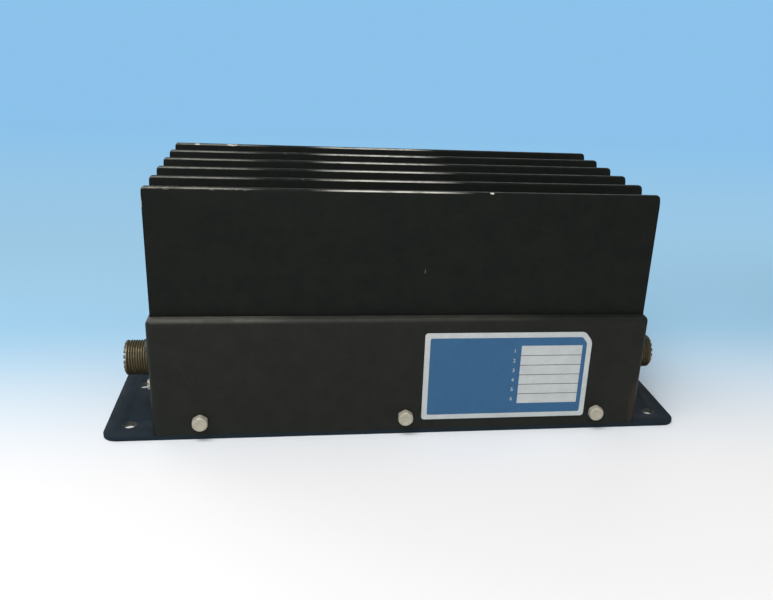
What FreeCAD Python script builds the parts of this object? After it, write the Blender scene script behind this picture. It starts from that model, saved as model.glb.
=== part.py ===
import FreeCAD, Part
import math
import os

from FreeCAD import Vector

os.makedirs("parts", exist_ok=True)

# RF power amplifier in a finned case. Millimetres, +X along the length, +Y to the back, +Z up.
# The origin is the middle of the base plate's underside.

# Case, heat sink and base plate
BOX_LENGTH = 219.1
BOX_TOP = 55.6
BOX_WALL = 1.6
BOX_BEND_RADIUS = 2.6
SINK_HEIGHT = 54.5
SINK_BASE = 6.4
SINK_END_INSET = 1.6
SINK_SET_BACK = 4.4
FIN_COUNT = 6
FIN_PITCH = 20.32
FIN_THICKNESS = 3.0
FIN_ROOT_RADIUS = 1.6
FIN_TIP_RADIUS = 0.8
FIN_CORNER_RADIUS = 1.5
PLATE_THICKNESS = 2.0
PLATE_REACH = 21.45
PLATE_CORNER_RADIUS = 6.35
MOUNT_HOLE = 5.2
MOUNT_HOLE_END_INSET = 10.0
MOUNT_HOLE_SIDE_INSET = 11.0
MIDDLE_HOLE_FROM_FRONT = 51.0

# Rim of the case's top, where the heat sink sits
RIM_END_WIDTH = 17.5
RIM_SIDE_WIDTH = 15.0
RIM_SCREW_INSET = 9.5
RIM_SCREW = 4.0
RIM_SCREW_DEPTH = 5.0

# Cover rails and hex-head cover screws
RAIL_HEIGHT = 12.0
RAIL_FOOT = 10.0
RAIL_SHEET = 1.6
RAIL_END_GAP = 10.0
COVER_SCREW = 4.1
COVER_SCREW_LENGTH = 8.0
COVER_SCREW_HEIGHT = 8.5
COVER_SCREW_END_INSET = 20.2
HEX_FLATS = 6.35
HEX_HEAD_HEIGHT = 3.0
HEX_DISH_DIAMETER = 4.0
HEX_DISH_DEPTH = 0.6
HEX_CHAMFER = 0.7
HEX_BLANK_MARGIN = 0.2

# Nameplate
NAMEPLATE_FROM_MIDDLE = 7.2
NAMEPLATE_SCREW_GAP = 5.95
NAMEPLATE_BOTTOM = 7.0
NAMEPLATE_TOP_GAP = 6.7
NAMEPLATE_THICKNESS = 0.5
NAMEPLATE_CORNER = 1.4

# Coaxial sockets
SOCKET_HEIGHT = 27.6
SOCKET_FROM_FRONT = 27.0
SOCKET_FLANGE_MARGIN = 4.7625
SOCKET_FLANGE_THICKNESS = 2.0
SOCKET_FLANGE_CORNER = 2.0
SOCKET_THREAD = 15.875
SOCKET_BARREL = 11.6
SOCKET_RIM_CHAMFER = 0.6
SOCKET_NOTCH_COUNT = 12
SOCKET_NOTCH_WIDTH = 1.0
SOCKET_NOTCH_DEPTH = 0.9
SOCKET_BORE = 12.2
SOCKET_BORE_DEPTH = 4.6
SOCKET_BOSS_WALL = 0.8
SOCKET_BOSS_LENGTH = 5.0
SOCKET_SCREW_INSET = 3.57
SOCKET_SCREW = 2.8
SOCKET_SCREW_LENGTH = 8.0
SOCKET_NUT_FLATS = 6.35
SOCKET_NUT_THICKNESS = 2.4
CONTACT_WALL = 0.7
CONTACT_BORE = 4.0
CONTACT_BORE_DEPTH = 10.0
CONTACT_TAIL = 4.0
CONTACT_TAIL_LENGTH = 7.0

# Circuit board under the heat sink
BOARD_THICKNESS = 1.6
BOARD_EDGE_GAP = 4.0
SPACER_LENGTH = 3.0
SPACER_DIAMETER = 6.0
SPACER_INSET = 5.0
MIDDLE_SPACER_X = 20.0
BOARD_SCREW = 3.0
BOARD_SCREW_DEPTH = 4.5
CUT_OUT_GAP = 0.5

# RF power transistors
TRANSISTOR_GAP = 5.2
TRANSISTOR_FLANGE_LENGTH = 24.8
TRANSISTOR_FLANGE_WIDTH = 6.4
TRANSISTOR_FLANGE_THICKNESS = 2.4
TRANSISTOR_CAP = 9.5
TRANSISTOR_CAP_THICKNESS = 3.6
TRANSISTOR_LEAD_LENGTH = 5.0
TRANSISTOR_LEAD_WIDTH = 5.5
TRANSISTOR_LEAD_THICKNESS = 0.25
TRANSISTOR_SCREW = 3.0
TRANSISTOR_SCREW_INSET = 3.2

# Bias transistor
BIAS_X = 40.0
BIAS_Y = 20.5
BIAS_WIDTH = 7.8
BIAS_LENGTH = 10.8
BIAS_THICKNESS = 2.7
BIAS_SCREW_OFFSET = 1.5
BIAS_LEAD = 0.6
BIAS_LEAD_PITCH = 2.3
BIAS_LEAD_REACH = 2.6
BIAS_LEAD_ROOT = 1.0

# Rotary ceramic trimmers
TRIMMER_BASE = 12.0
TRIMMER_COIL_GAP = 0.6
TRIMMER_HALF_PASSAGE = 4.0
TRIMMER_BASE_THICKNESS = 3.0
TRIMMER_ROTOR_DIAMETER = 10.0
TRIMMER_ROTOR_THICKNESS = 2.0
TRIMMER_ROTOR_GAP = 0.1
TRIMMER_HUB = 2.0
TRIMMER_HUB_LENGTH = 2.5
TRIMMER_SLOT_WIDTH = 1.0
TRIMMER_SLOT_DEPTH = 0.8

# Ferrite transformers and air-wound coils
TRANSFORMER_LEAD_GAP = 1.8
TRANSFORMER_LIFT = 0.3
END_PLATE_THICKNESS = 1.0
TUBE_WALL = 0.5
TUBE_PROUD = 0.6
OUTPUT_SLEEVE = 9.5
OUTPUT_SLEEVE_LENGTH = 24.0
OUTPUT_SLEEVE_BORE = 5.2
OUTPUT_SLEEVE_GAP = 1.0
INPUT_SLEEVE = 8.0
INPUT_SLEEVE_LENGTH = 16.0
INPUT_SLEEVE_BORE = 4.4
INPUT_SLEEVE_GAP = 0.8
WINDING_WIRE = 1.2
WINDING_END_REACH = 1.3
COIL_WINDING_GAP = 0.5
COIL_MEAN_RADIUS = 3.6
COIL_WIRE = 1.2
COIL_PITCH = 2.0
COIL_TURNS = 5

# Small board components
ELECTROLYTIC_X = -40.0
ELECTROLYTIC_Y = -19.0
ELECTROLYTIC_DIAMETER = 10.0
ELECTROLYTIC_LENGTH = 21.0
AXIAL_LEAD = 0.8
AXIAL_LIFT = 0.3
RESISTOR_DIAMETER = 2.5
RESISTOR_LENGTH = 6.5
RESISTOR_NEAR_X = 14.0
RESISTOR_TRIMMER_GAP = 6.0
CHOKE_X = 40.0
CHOKE_Y = -17.5
CHOKE_Y_STEP = 8.0
CHOKE_DIAMETER = 5.0
CHOKE_LENGTH = 12.0
LEAD_REACH = 1.6
DISC_DIAMETER = 7.0
DISC_THICKNESS = 2.0
DISC_LEAD = 0.7
DISC_LEAD_LENGTH = 2.0
DISC_LEAD_SPACING = 4.0
DISC_X = 14.0
DISC_Y = 21.0
CLAD_LENGTH = 5.0
CLAD_WIDTH = 5.5
CLAD_THICKNESS = 2.0
CLAD_X = 14.0
CLAD_Y = 8.6

# Transmit and receive relay
RELAY_X = -38.0
RELAY_Y = 20.0
RELAY_BASE_LENGTH = 24.0
RELAY_BASE_OFFSET = 1.0
RELAY_BASE_WIDTH = 15.0
RELAY_BASE_THICKNESS = 2.0
YOKE_SHEET = 1.4
YOKE_WIDTH = 10.0
YOKE_REACH = 9.0
YOKE_FOOT_FORWARD = 4.0
YOKE_SET_BACK = 0.6
YOKE_EAR_BACK = 1.3
YOKE_EAR_LENGTH = 3.4
YOKE_EAR_OVERLAP = 3.0
CORE_DIAMETER = 4.0
CORE_END = 17.0
COIL_BOBBIN_DIAMETER = 10.4
COIL_BOBBIN_GAP = 0.1
COIL_BOBBIN_SET_BACK = 0.8
ARMATURE_GAP = 1.0
ARMATURE_SHEET = 1.2
ARMATURE_WIDTH = 6.8
ARMATURE_REACH = 9.0
ARMATURE_BARREL_RADIUS = 1.5
ARMATURE_TRAVEL_DEG = 5.0
HINGE_PIN = 1.2
HINGE_RUNNING_GAP = 0.05
FORK_GAP = 0.12
FORK_ARM = 1.0
FORK_ARM_LENGTH = 4.0
FORK_POST = 1.2
FORK_POST_GAP = 1.4
FORK_WIDTH = 6.0

# Coaxial links and supply wires
COAX_DIAMETER = 3.2
COAX_RUN_IN = 11.5
COAX_RISE = 4.0
COAX_LANDING_INSET = 8.0
SUPPLY_WIRE = 2.2
SUPPLY_RUN_IN = 7.0
SUPPLY_RISE = 9.0
SUPPLY_LANDING_INSET = 4.7

# Supply terminal block on the rear wall
TERMINAL_X = 54.0
TERMINAL_HEIGHT = 28.0
TERMINAL_PITCH = 11.0
TERMINAL_BODY_HEIGHT = 16.0
TERMINAL_BODY_DEPTH = 5.0
TERMINAL_EAR = 7.0
TERMINAL_BARRIER = 1.6
TERMINAL_BARRIER_RISE = 6.5
TERMINAL_STRAP_GAP = 0.9
TERMINAL_STRAP_HEIGHT = 13.0
TERMINAL_STRAP_THICKNESS = 1.0
TERMINAL_PIN = 2.6
TERMINAL_PIN_DROP = 4.2
TERMINAL_PIN_REACH = 7.0
TERMINAL_WALL_HOLE = 6.0
TERMINAL_SCREW = 3.4
TERMINAL_SCREW_LENGTH = 4.5
TERMINAL_SCREW_RISE = 1.5
BLOCK_SCREW = 2.8
BLOCK_SCREW_LENGTH = 10.5
BLOCK_NUT_THICKNESS = 2.4

# Clearances and heads shared by several fits
SCREW_PASS_GAP = 0.4
THREAD_GAP = 0.05
SEAT_GAP = 0.1
HEAD_RATIO = 1.8
HEAD_HEIGHT_RATIO = 0.6
DRIVER_SLOT_RATIO = 0.25
BOSS_PASS_GAP = 0.2

# How far a cutter runs past the face it cuts, and a cable arc's share of its shorter run
OVERSHOOT = 1.0
ARC_SHARE = 0.45

# Places worked out from the sizes above
SINK_LENGTH = BOX_LENGTH - 2 * SINK_END_INSET
SINK_DEPTH = (FIN_COUNT - 1) * FIN_PITCH + FIN_THICKNESS
BOX_DEPTH = SINK_DEPTH + 2 * SINK_SET_BACK
SINK_TOP = BOX_TOP + SINK_HEIGHT
PLATE_LENGTH = BOX_LENGTH + 2 * PLATE_REACH
FRONT_Y = -BOX_DEPTH / 2
REAR_Y = BOX_DEPTH / 2
END_X = BOX_LENGTH / 2
INNER_X = END_X - BOX_WALL
INNER_Y = REAR_Y - BOX_WALL
RIM_UNDERSIDE = BOX_TOP - BOX_WALL
OPENING_X = END_X - RIM_END_WIDTH
OPENING_Y = REAR_Y - RIM_SIDE_WIDTH
BOARD_X = OPENING_X - BOARD_EDGE_GAP
BOARD_Y = OPENING_Y - BOARD_EDGE_GAP
BOARD_TOP = BOX_TOP - SPACER_LENGTH
BOARD_FACE = BOARD_TOP - BOARD_THICKNESS
SOCKET_Y = FRONT_Y + SOCKET_FROM_FRONT
COVER_SCREW_XS = (-(END_X - COVER_SCREW_END_INSET), 0.0, END_X - COVER_SCREW_END_INSET)
RIM_SCREW_X = END_X - RIM_SCREW_INSET
RIM_SCREW_Y = REAR_Y - RIM_SCREW_INSET
RIM_SCREW_PLACES = (
    [(x, y) for x in (-RIM_SCREW_X, 0.0, RIM_SCREW_X) for y in (-RIM_SCREW_Y, RIM_SCREW_Y)]
    + [(-RIM_SCREW_X, 0.0), (RIM_SCREW_X, 0.0)]
)
SPACER_XS = (-(BOARD_X - SPACER_INSET), -MIDDLE_SPACER_X, MIDDLE_SPACER_X, BOARD_X - SPACER_INSET)
SPACER_PLACES = [(x, y) for x in SPACER_XS for y in (-(BOARD_Y - SPACER_INSET), BOARD_Y - SPACER_INSET)]
SOCKET_FLANGE = SOCKET_THREAD + 2 * SOCKET_FLANGE_MARGIN
SOCKET_BOSS = SOCKET_BORE + 2 * SOCKET_BOSS_WALL
SOCKET_SCREW_STEP = SOCKET_FLANGE / 2 - SOCKET_SCREW_INSET
CONTACT_DIAMETER = CONTACT_BORE + 2 * CONTACT_WALL
TRANSISTOR_Y = (TRANSISTOR_FLANGE_LENGTH + TRANSISTOR_GAP) / 2
TRANSISTOR_YS = (-TRANSISTOR_Y, TRANSISTOR_Y)
TRANSISTOR_SCREW_STEP = TRANSISTOR_FLANGE_LENGTH / 2 - TRANSISTOR_SCREW_INSET
TRANSISTOR_SCREW_YS = [y + side * TRANSISTOR_SCREW_STEP for y in TRANSISTOR_YS for side in (-1, 1)]
OUTPUT_SLEEVE_SPACING = OUTPUT_SLEEVE + OUTPUT_SLEEVE_GAP
INPUT_SLEEVE_SPACING = INPUT_SLEEVE + INPUT_SLEEVE_GAP
OUTPUT_TUBE_REACH = OUTPUT_SLEEVE_LENGTH / 2 + END_PLATE_THICKNESS + TUBE_PROUD
WINDING_LEFT_REACH = OUTPUT_TUBE_REACH + OUTPUT_SLEEVE_SPACING / 2
WINDING_RIGHT_REACH = OUTPUT_TUBE_REACH + WINDING_END_REACH
LEAD_END_X = TRANSISTOR_CAP / 2 + TRANSISTOR_LEAD_LENGTH
TRANSFORMER_X = LEAD_END_X + TRANSFORMER_LEAD_GAP + WINDING_WIRE / 2 + WINDING_LEFT_REACH
COIL_RADIUS = COIL_MEAN_RADIUS + COIL_WIRE / 2
COIL_X = TRANSFORMER_X + WINDING_RIGHT_REACH + WINDING_WIRE / 2 + COIL_WINDING_GAP + COIL_RADIUS
TRIMMER_X = COIL_X + COIL_RADIUS + TRIMMER_COIL_GAP + TRIMMER_BASE / 2
TRIMMER_Y = TRIMMER_HALF_PASSAGE + TRIMMER_BASE / 2
TRIMMER_PLACES = [(x, y) for x in (-TRIMMER_X, TRIMMER_X) for y in (-TRIMMER_Y, TRIMMER_Y)]
RESISTOR_FAR_Y = TRIMMER_Y + TRIMMER_BASE / 2 + RESISTOR_TRIMMER_GAP
RELAY_BACK_X = RELAY_X - YOKE_REACH
RELAY_PIN_X = RELAY_BACK_X + YOKE_SHEET / 2
RELAY_PIN_DROP = CORE_END + ARMATURE_GAP + ARMATURE_SHEET / 2
RELAY_FOOT_DROP = RELAY_BASE_THICKNESS + YOKE_SHEET
ARMATURE_TOP_DROP = CORE_END + ARMATURE_GAP
ARMATURE_TIP_X = RELAY_X + ARMATURE_REACH
TERMINAL_STRAP_WIDTH = TERMINAL_PITCH - TERMINAL_BARRIER - 2 * TERMINAL_STRAP_GAP
TERMINAL_FACE_Y = REAR_Y + TERMINAL_BODY_DEPTH
TERMINAL_PIN_Z = TERMINAL_HEIGHT - TERMINAL_PIN_DROP
TERMINAL_SCREW_Z = TERMINAL_HEIGHT + TERMINAL_SCREW_RISE

UP = Vector(0, 0, 1)
RIGHT = Vector(1, 0, 0)
BACK = Vector(0, 1, 0)


def save(name, solids):
    """Write one sub-part: a single solid, or a group of separate ones."""
    solids = solids if isinstance(solids, list) else [solids]
    shape = solids[0] if len(solids) == 1 else Part.makeCompound(solids)
    shape.exportStep("parts/" + name + ".step")


def block(x_from, x_to, y_from, y_to, z_from, z_to):
    """A plain box between two corners."""
    return Part.makeBox(x_to - x_from, y_to - y_from, z_to - z_from, Vector(x_from, y_from, z_from))


def rod(diameter, start, axis, length):
    """A round bar from a point along an axis."""
    return Part.makeCylinder(diameter / 2, length, start, axis)


def ring(outer, inner, start, axis, length):
    """A round tube from a point along an axis."""
    return rod(outer, start, axis, length).cut(rod(inner, start, axis, length))


def drill(solid, diameter, start, axis, depth):
    """Cut a round hole that runs past both ends of its depth."""
    return solid.cut(rod(diameter, start - axis * OVERSHOOT, axis, depth + 2 * OVERSHOOT))


def round_edges(solid, radius, wanted):
    """Fillet the edges that a test on the edge picks out."""
    return solid.makeFillet(radius, [edge for edge in solid.Edges if wanted(edge)])


def runs_along(edge, axis):
    """True for a straight edge parallel to an axis."""
    first, last = edge.Vertexes[0].Point, edge.Vertexes[-1].Point
    span = last.sub(first)
    return span.Length > 0 and span.cross(axis).Length < 1e-6 * span.Length


def one(shape):
    """The single solid of a fused or cut shape, with its seams merged."""
    return shape.removeSplitter().Solids[0]


def hexagon(flats, start, axis, length, point_to):
    """A hexagonal bar whose corner points along a given direction."""
    side = axis.cross(point_to)
    reach = flats / math.sqrt(3)
    corners = []
    for step in range(6):
        angle = math.radians(60 * step)
        corners.append(start + point_to * (reach * math.cos(angle)) + side * (reach * math.sin(angle)))
    outline = Part.makePolygon(corners + [corners[0]])
    return Part.Face(outline).extrude(axis * length)


def slotted_screw(shank, length, seat, axis):
    """A screw whose head sits on a seat and whose shank runs along the axis."""
    head = HEAD_RATIO * shank
    height = HEAD_HEIGHT_RATIO * shank
    slot = DRIVER_SLOT_RATIO * shank
    across = BACK if abs(axis.dot(BACK)) < 0.5 else RIGHT
    along = axis.cross(across)
    body = rod(head, seat - axis * height, axis, height)
    corner = seat - axis * height - across * (slot / 2) - along * head
    cutter = Part.Face(Part.makePolygon([
        corner,
        corner + across * slot,
        corner + across * slot + along * (2 * head),
        corner + along * (2 * head),
        corner,
    ])).extrude(axis * (height / 2))
    return one(body.cut(cutter).fuse(rod(shank, seat, axis, length)))


def hex_screw(seat, axis):
    """An indented hex-head screw; a corner of its head points up."""
    start = seat - axis * HEX_HEAD_HEIGHT
    head = hexagon(HEX_FLATS, start, axis, HEX_HEAD_HEIGHT, UP)
    corner_reach = HEX_FLATS / math.sqrt(3)
    blank = rod(2 * (corner_reach + HEX_BLANK_MARGIN), start, axis, HEX_HEAD_HEIGHT)
    end_edge = [edge for edge in blank.Edges if edge.CenterOfMass.sub(start).Length < 1e-3]
    blank = blank.makeChamfer(HEX_CHAMFER, end_edge)
    dish = rod(HEX_DISH_DIAMETER, start, axis, HEX_DISH_DEPTH)
    head = head.common(blank).cut(dish)
    return one(head.fuse(rod(COVER_SCREW, seat, axis, COVER_SCREW_LENGTH)))


def nut(flats, bore, start, axis, thickness):
    """A hex nut on a screw."""
    return hexagon(flats, start, axis, thickness, UP).cut(rod(bore, start, axis, thickness))


def rounded_path(points):
    """Straight runs joined by tangent arcs, each as large as its two runs allow."""
    edges = []
    radii = []
    here = points[0]
    for index in range(1, len(points) - 1):
        before, corner, after = points[index - 1], points[index], points[index + 1]
        way_in = corner.sub(before)
        way_out = after.sub(corner)
        turn = way_in.getAngle(way_out)
        setback = ARC_SHARE * min(way_in.Length, way_out.Length)
        radius = setback / math.tan(turn / 2)
        unit_in, unit_out = Vector(way_in).normalize(), Vector(way_out).normalize()
        start, end = corner - unit_in * setback, corner + unit_out * setback
        inward = (unit_out - unit_in).normalize()
        middle = corner + inward * (radius / math.cos(turn / 2) - radius)
        edges.append(Part.LineSegment(here, start).toShape())
        edges.append(Part.Arc(start, middle, end).toShape())
        radii.append(round(radius, 1))
        here = end
    edges.append(Part.LineSegment(here, points[-1]).toShape())
    return Part.Wire(edges), radii


def sweep(wire, diameter, start, direction):
    """A round wire along a path."""
    section = Part.Wire([Part.Circle(start, direction, diameter / 2).toShape()])
    return wire.makePipeShell([section], True, False)


def cable(name, points, diameter):
    """A round cable along rounded runs; prints its bend radii and a volume test."""
    wire, radii = rounded_path(points)
    solid = sweep(wire, diameter, points[0], points[1].sub(points[0])).Solids[0]
    expected = math.pi * diameter ** 2 / 4 * wire.Length
    print(name, "bend radii", radii, "length", round(wire.Length, 1))
    print(name, "volume over section times length", round(solid.Volume / expected, 4))
    return solid


def biarc(start, start_way, end, end_way):
    """Two tangent arcs between two points with given unit directions."""
    chord = end - start
    ways = start_way + end_way
    slack = 2 * (1 - start_way.dot(end_way))
    along = chord.dot(ways)
    reach = (math.sqrt(along ** 2 + slack * chord.dot(chord)) - along) / slack
    joint = (start + start_way * reach + end - end_way * reach) * 0.5
    arcs = []
    for first, apex, last in (
        (start, start + start_way * reach, joint),
        (joint, end - end_way * reach, end),
    ):
        half = (last - first) * 0.5
        middle = first + half
        rise = (apex - middle).Length
        angle = math.atan2(rise, half.Length)
        sagitta = half.Length * math.tan(angle / 2)
        arcs.append(Part.Arc(first, middle + (apex - middle).normalize() * sagitta, last).toShape())
    return arcs


def wound_coil(centre, mean_radius, wire, pitch, turns, lead_top):
    """An open coil along Y with both ends rising straight to the board."""
    def point(angle):
        along = pitch * (angle / (2 * math.pi) - turns / 2)
        return centre + Vector(mean_radius * math.cos(angle), along, mean_radius * math.sin(angle))

    def way(angle):
        slope = Vector(-mean_radius * math.sin(angle), pitch / (2 * math.pi), mean_radius * math.cos(angle))
        return slope.normalize()

    edges = []
    quarters = 4 * turns + 2
    for quarter in range(quarters):
        low, high = quarter * math.pi / 2, (quarter + 1) * math.pi / 2
        edges += biarc(point(low), way(low), point(high), way(high))
    first, last = point(0), point(quarters * math.pi / 2)
    body = sweep(Part.Wire(edges), wire, first, way(0)).Solids[0]
    leads = [rod(wire, end, UP, lead_top - end.z) for end in (first, last)]
    return one(body.fuse(leads[0]).fuse(leads[1]))


def chassis_box():
    """Bent sheet case, open below, with a rim under the heat sink."""
    outer = block(-END_X, END_X, FRONT_Y, REAR_Y, PLATE_THICKNESS, BOX_TOP)
    outer = round_edges(
        outer, BOX_BEND_RADIUS,
        lambda edge: runs_along(edge, UP) or edge.CenterOfMass.z > BOX_TOP - 1e-6,
    )
    inner = block(-INNER_X, INNER_X, -INNER_Y, INNER_Y, 0, RIM_UNDERSIDE)
    inner = round_edges(
        inner, BOX_BEND_RADIUS - BOX_WALL,
        lambda edge: runs_along(edge, UP) or edge.CenterOfMass.z > RIM_UNDERSIDE - 1e-6,
    )
    shell = outer.cut(inner)
    low, high = RIM_UNDERSIDE - OVERSHOOT, BOX_TOP + OVERSHOOT
    shell = shell.cut(block(-OPENING_X, OPENING_X, -OPENING_Y, OPENING_Y, low, high))
    for x in COVER_SCREW_XS:
        start = Vector(x, FRONT_Y, COVER_SCREW_HEIGHT)
        shell = drill(shell, COVER_SCREW + SCREW_PASS_GAP, start, BACK, BOX_DEPTH)
    for x, y in RIM_SCREW_PLACES:
        shell = drill(shell, RIM_SCREW + SCREW_PASS_GAP, Vector(x, y, RIM_UNDERSIDE), UP, BOX_WALL)
    across = Vector(-END_X, SOCKET_Y, SOCKET_HEIGHT)
    shell = drill(shell, SOCKET_BOSS + 2 * BOSS_PASS_GAP, across, RIGHT, BOX_LENGTH)
    for offset_y, offset_z in socket_screw_offsets():
        start = across + Vector(0, offset_y, offset_z)
        shell = drill(shell, SOCKET_SCREW + SCREW_PASS_GAP, start, RIGHT, BOX_LENGTH)
    for x in terminal_xs():
        shell = drill(shell, TERMINAL_WALL_HOLE, Vector(x, INNER_Y, TERMINAL_PIN_Z), BACK, BOX_WALL)
    for x in block_screw_xs():
        start = Vector(x, INNER_Y, TERMINAL_HEIGHT)
        shell = drill(shell, BLOCK_SCREW + SCREW_PASS_GAP, start, BACK, BOX_WALL)
    return one(shell)


def heat_sink():
    """Extruded base with upright fins and blind holes for what bolts to it."""
    half_length, half_depth = SINK_LENGTH / 2, SINK_DEPTH / 2
    sink = block(-half_length, half_length, -half_depth, half_depth, BOX_TOP, BOX_TOP + SINK_BASE)
    root = BOX_TOP + SINK_BASE
    for index in range(FIN_COUNT):
        y = -half_depth + index * FIN_PITCH
        sink = sink.fuse(block(-half_length, half_length, y, y + FIN_THICKNESS, BOX_TOP, SINK_TOP))
    sink = sink.removeSplitter()

    def at_root(edge):
        inside = abs(edge.CenterOfMass.y) < half_depth - FIN_THICKNESS / 2
        return inside and runs_along(edge, RIGHT) and abs(edge.CenterOfMass.z - root) < 1e-3

    sink = round_edges(sink, FIN_ROOT_RADIUS, at_root)
    sink = round_edges(
        sink, FIN_TIP_RADIUS,
        lambda edge: runs_along(edge, RIGHT) and edge.CenterOfMass.z > SINK_TOP - 1e-3,
    )
    reach_y = half_depth + OVERSHOOT
    outline = block(-half_length, half_length, -reach_y, reach_y, BOX_TOP - OVERSHOOT, SINK_TOP)
    outline = round_edges(
        outline, FIN_CORNER_RADIUS,
        lambda edge: runs_along(edge, BACK) and edge.CenterOfMass.z > SINK_TOP - 1e-3,
    )
    sink = sink.common(outline)
    holes = [(x, y, RIM_SCREW, RIM_SCREW_DEPTH) for x, y in RIM_SCREW_PLACES]
    holes += [(x, y, BOARD_SCREW, BOARD_SCREW_DEPTH) for x, y in SPACER_PLACES]
    holes += [(0.0, y, TRANSISTOR_SCREW, BOARD_SCREW_DEPTH) for y in TRANSISTOR_SCREW_YS]
    holes += [(BIAS_X, BIAS_Y + BIAS_SCREW_OFFSET, BOARD_SCREW, BOARD_SCREW_DEPTH)]
    for x, y, screw, depth in holes:
        start = Vector(x, y, BOX_TOP - OVERSHOOT)
        sink = sink.cut(rod(screw + 2 * THREAD_GAP, start, UP, OVERSHOOT + depth + SEAT_GAP))
    return one(sink)


def base_plate():
    """Flat plate whose ends stick out as mounting flanges."""
    half = PLATE_LENGTH / 2
    hole_ys = (
        FRONT_Y + MOUNT_HOLE_SIDE_INSET,
        REAR_Y - MOUNT_HOLE_SIDE_INSET,
        FRONT_Y + MIDDLE_HOLE_FROM_FRONT,
    )
    plate = block(-half, half, FRONT_Y, REAR_Y, 0, PLATE_THICKNESS)
    plate = round_edges(plate, PLATE_CORNER_RADIUS, lambda edge: runs_along(edge, UP))
    for side in (-1, 1):
        x = side * (half - MOUNT_HOLE_END_INSET)
        for y in hole_ys:
            plate = drill(plate, MOUNT_HOLE, Vector(x, y, 0), UP, PLATE_THICKNESS)
    return one(plate)


def cover_rail(side):
    """L-shaped strip on the plate, just inside the front (-1) or rear (1) wall."""
    half = END_X - RAIL_END_GAP
    outer = INNER_Y - SEAT_GAP
    low = PLATE_THICKNESS
    upright = block(-half, half, outer - RAIL_SHEET, outer, low, low + RAIL_HEIGHT)
    foot = block(-half, half, outer - RAIL_FOOT, outer, low, low + RAIL_SHEET)
    rail = one(upright.fuse(foot))
    for x in COVER_SCREW_XS:
        start = Vector(x, outer - RAIL_SHEET, COVER_SCREW_HEIGHT)
        rail = drill(rail, COVER_SCREW + 2 * THREAD_GAP, start, BACK, RAIL_SHEET)
    if side < 0:
        rail = rail.mirror(Vector(0, 0, 0), BACK)
    return one(rail)


def cover_screws(side):
    """Three hex-head screws along the front (-1) or rear (1) lower edge."""
    axis = BACK * -side
    return [hex_screw(Vector(x, side * REAR_Y, COVER_SCREW_HEIGHT), axis) for x in COVER_SCREW_XS]


def nameplate():
    """Thin plate stuck on the front, between the middle and the right-hand cover screw."""
    plate = block(
        NAMEPLATE_FROM_MIDDLE, COVER_SCREW_XS[-1] - NAMEPLATE_SCREW_GAP,
        FRONT_Y - NAMEPLATE_THICKNESS, FRONT_Y,
        NAMEPLATE_BOTTOM, BOX_TOP - NAMEPLATE_TOP_GAP,
    )
    return round_edges(plate, NAMEPLATE_CORNER, lambda edge: runs_along(edge, BACK))


def socket_screw_offsets():
    """Y and Z offsets of a socket's four screws from its axis."""
    step = SOCKET_SCREW_STEP
    return [(y, z) for y in (-step, step) for z in (-step, step)]


def socket_seat(side):
    """Where a socket's axis meets the outer face of its end wall."""
    return Vector(side * END_X, SOCKET_Y, SOCKET_HEIGHT)


def socket_shell(side):
    """Square flange with a threaded barrel outside, a boss inside and notches round the rim."""
    out = RIGHT * side
    seat = socket_seat(side)
    length = SOCKET_FLANGE_THICKNESS + SOCKET_BARREL
    tip = seat + out * length
    half = SOCKET_FLANGE / 2
    low_x, high_x = sorted((seat.x, seat.x + side * SOCKET_FLANGE_THICKNESS))
    low_z, high_z = SOCKET_HEIGHT - half, SOCKET_HEIGHT + half
    flange = block(low_x, high_x, SOCKET_Y - half, SOCKET_Y + half, low_z, high_z)
    flange = round_edges(flange, SOCKET_FLANGE_CORNER, lambda edge: runs_along(edge, RIGHT))
    barrel = rod(SOCKET_THREAD, seat, out, length)
    barrel = barrel.makeChamfer(
        SOCKET_RIM_CHAMFER,
        [edge for edge in barrel.Edges if abs(edge.CenterOfMass.x - tip.x) < 1e-3],
    )
    shell = flange.fuse(barrel).fuse(rod(SOCKET_BOSS, seat, -out, SOCKET_BOSS_LENGTH))
    inner_end = seat - out * SOCKET_BOSS_LENGTH
    shell = drill(shell, SOCKET_BORE, inner_end, out, SOCKET_BOSS_LENGTH + length)
    for offset_y, offset_z in socket_screw_offsets():
        start = seat + Vector(0, offset_y, offset_z)
        shell = drill(shell, SOCKET_SCREW + SCREW_PASS_GAP, start, out, SOCKET_FLANGE_THICKNESS)
    near, far = sorted((tip.x - side * SOCKET_NOTCH_DEPTH, tip.x + side * OVERSHOOT))
    width = SOCKET_NOTCH_WIDTH / 2
    low_z, high_z = SOCKET_HEIGHT - width, SOCKET_HEIGHT + width
    for index in range(SOCKET_NOTCH_COUNT // 2):
        notch = block(near, far, SOCKET_Y - SOCKET_THREAD, SOCKET_Y + SOCKET_THREAD, low_z, high_z)
        notch.rotate(seat, RIGHT, 360 * index / SOCKET_NOTCH_COUNT)
        shell = shell.cut(notch)
    return one(shell)


def socket_core(side):
    """Insulator and centre contact of a socket."""
    out = RIGHT * side
    start = socket_seat(side) - out * SOCKET_BOSS_LENGTH
    length = SOCKET_BOSS_LENGTH + SOCKET_FLANGE_THICKNESS + SOCKET_BARREL - SOCKET_BORE_DEPTH
    outer, inner = SOCKET_BORE - 2 * THREAD_GAP, CONTACT_DIAMETER + 2 * THREAD_GAP
    insulator = ring(outer, inner, start, out, length)
    contact = rod(CONTACT_DIAMETER, start, out, length)
    contact = contact.fuse(rod(CONTACT_TAIL, start, -out, CONTACT_TAIL_LENGTH))
    contact = contact.cut(rod(CONTACT_BORE, start + out * length, -out, CONTACT_BORE_DEPTH))
    return insulator, one(contact)


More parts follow.
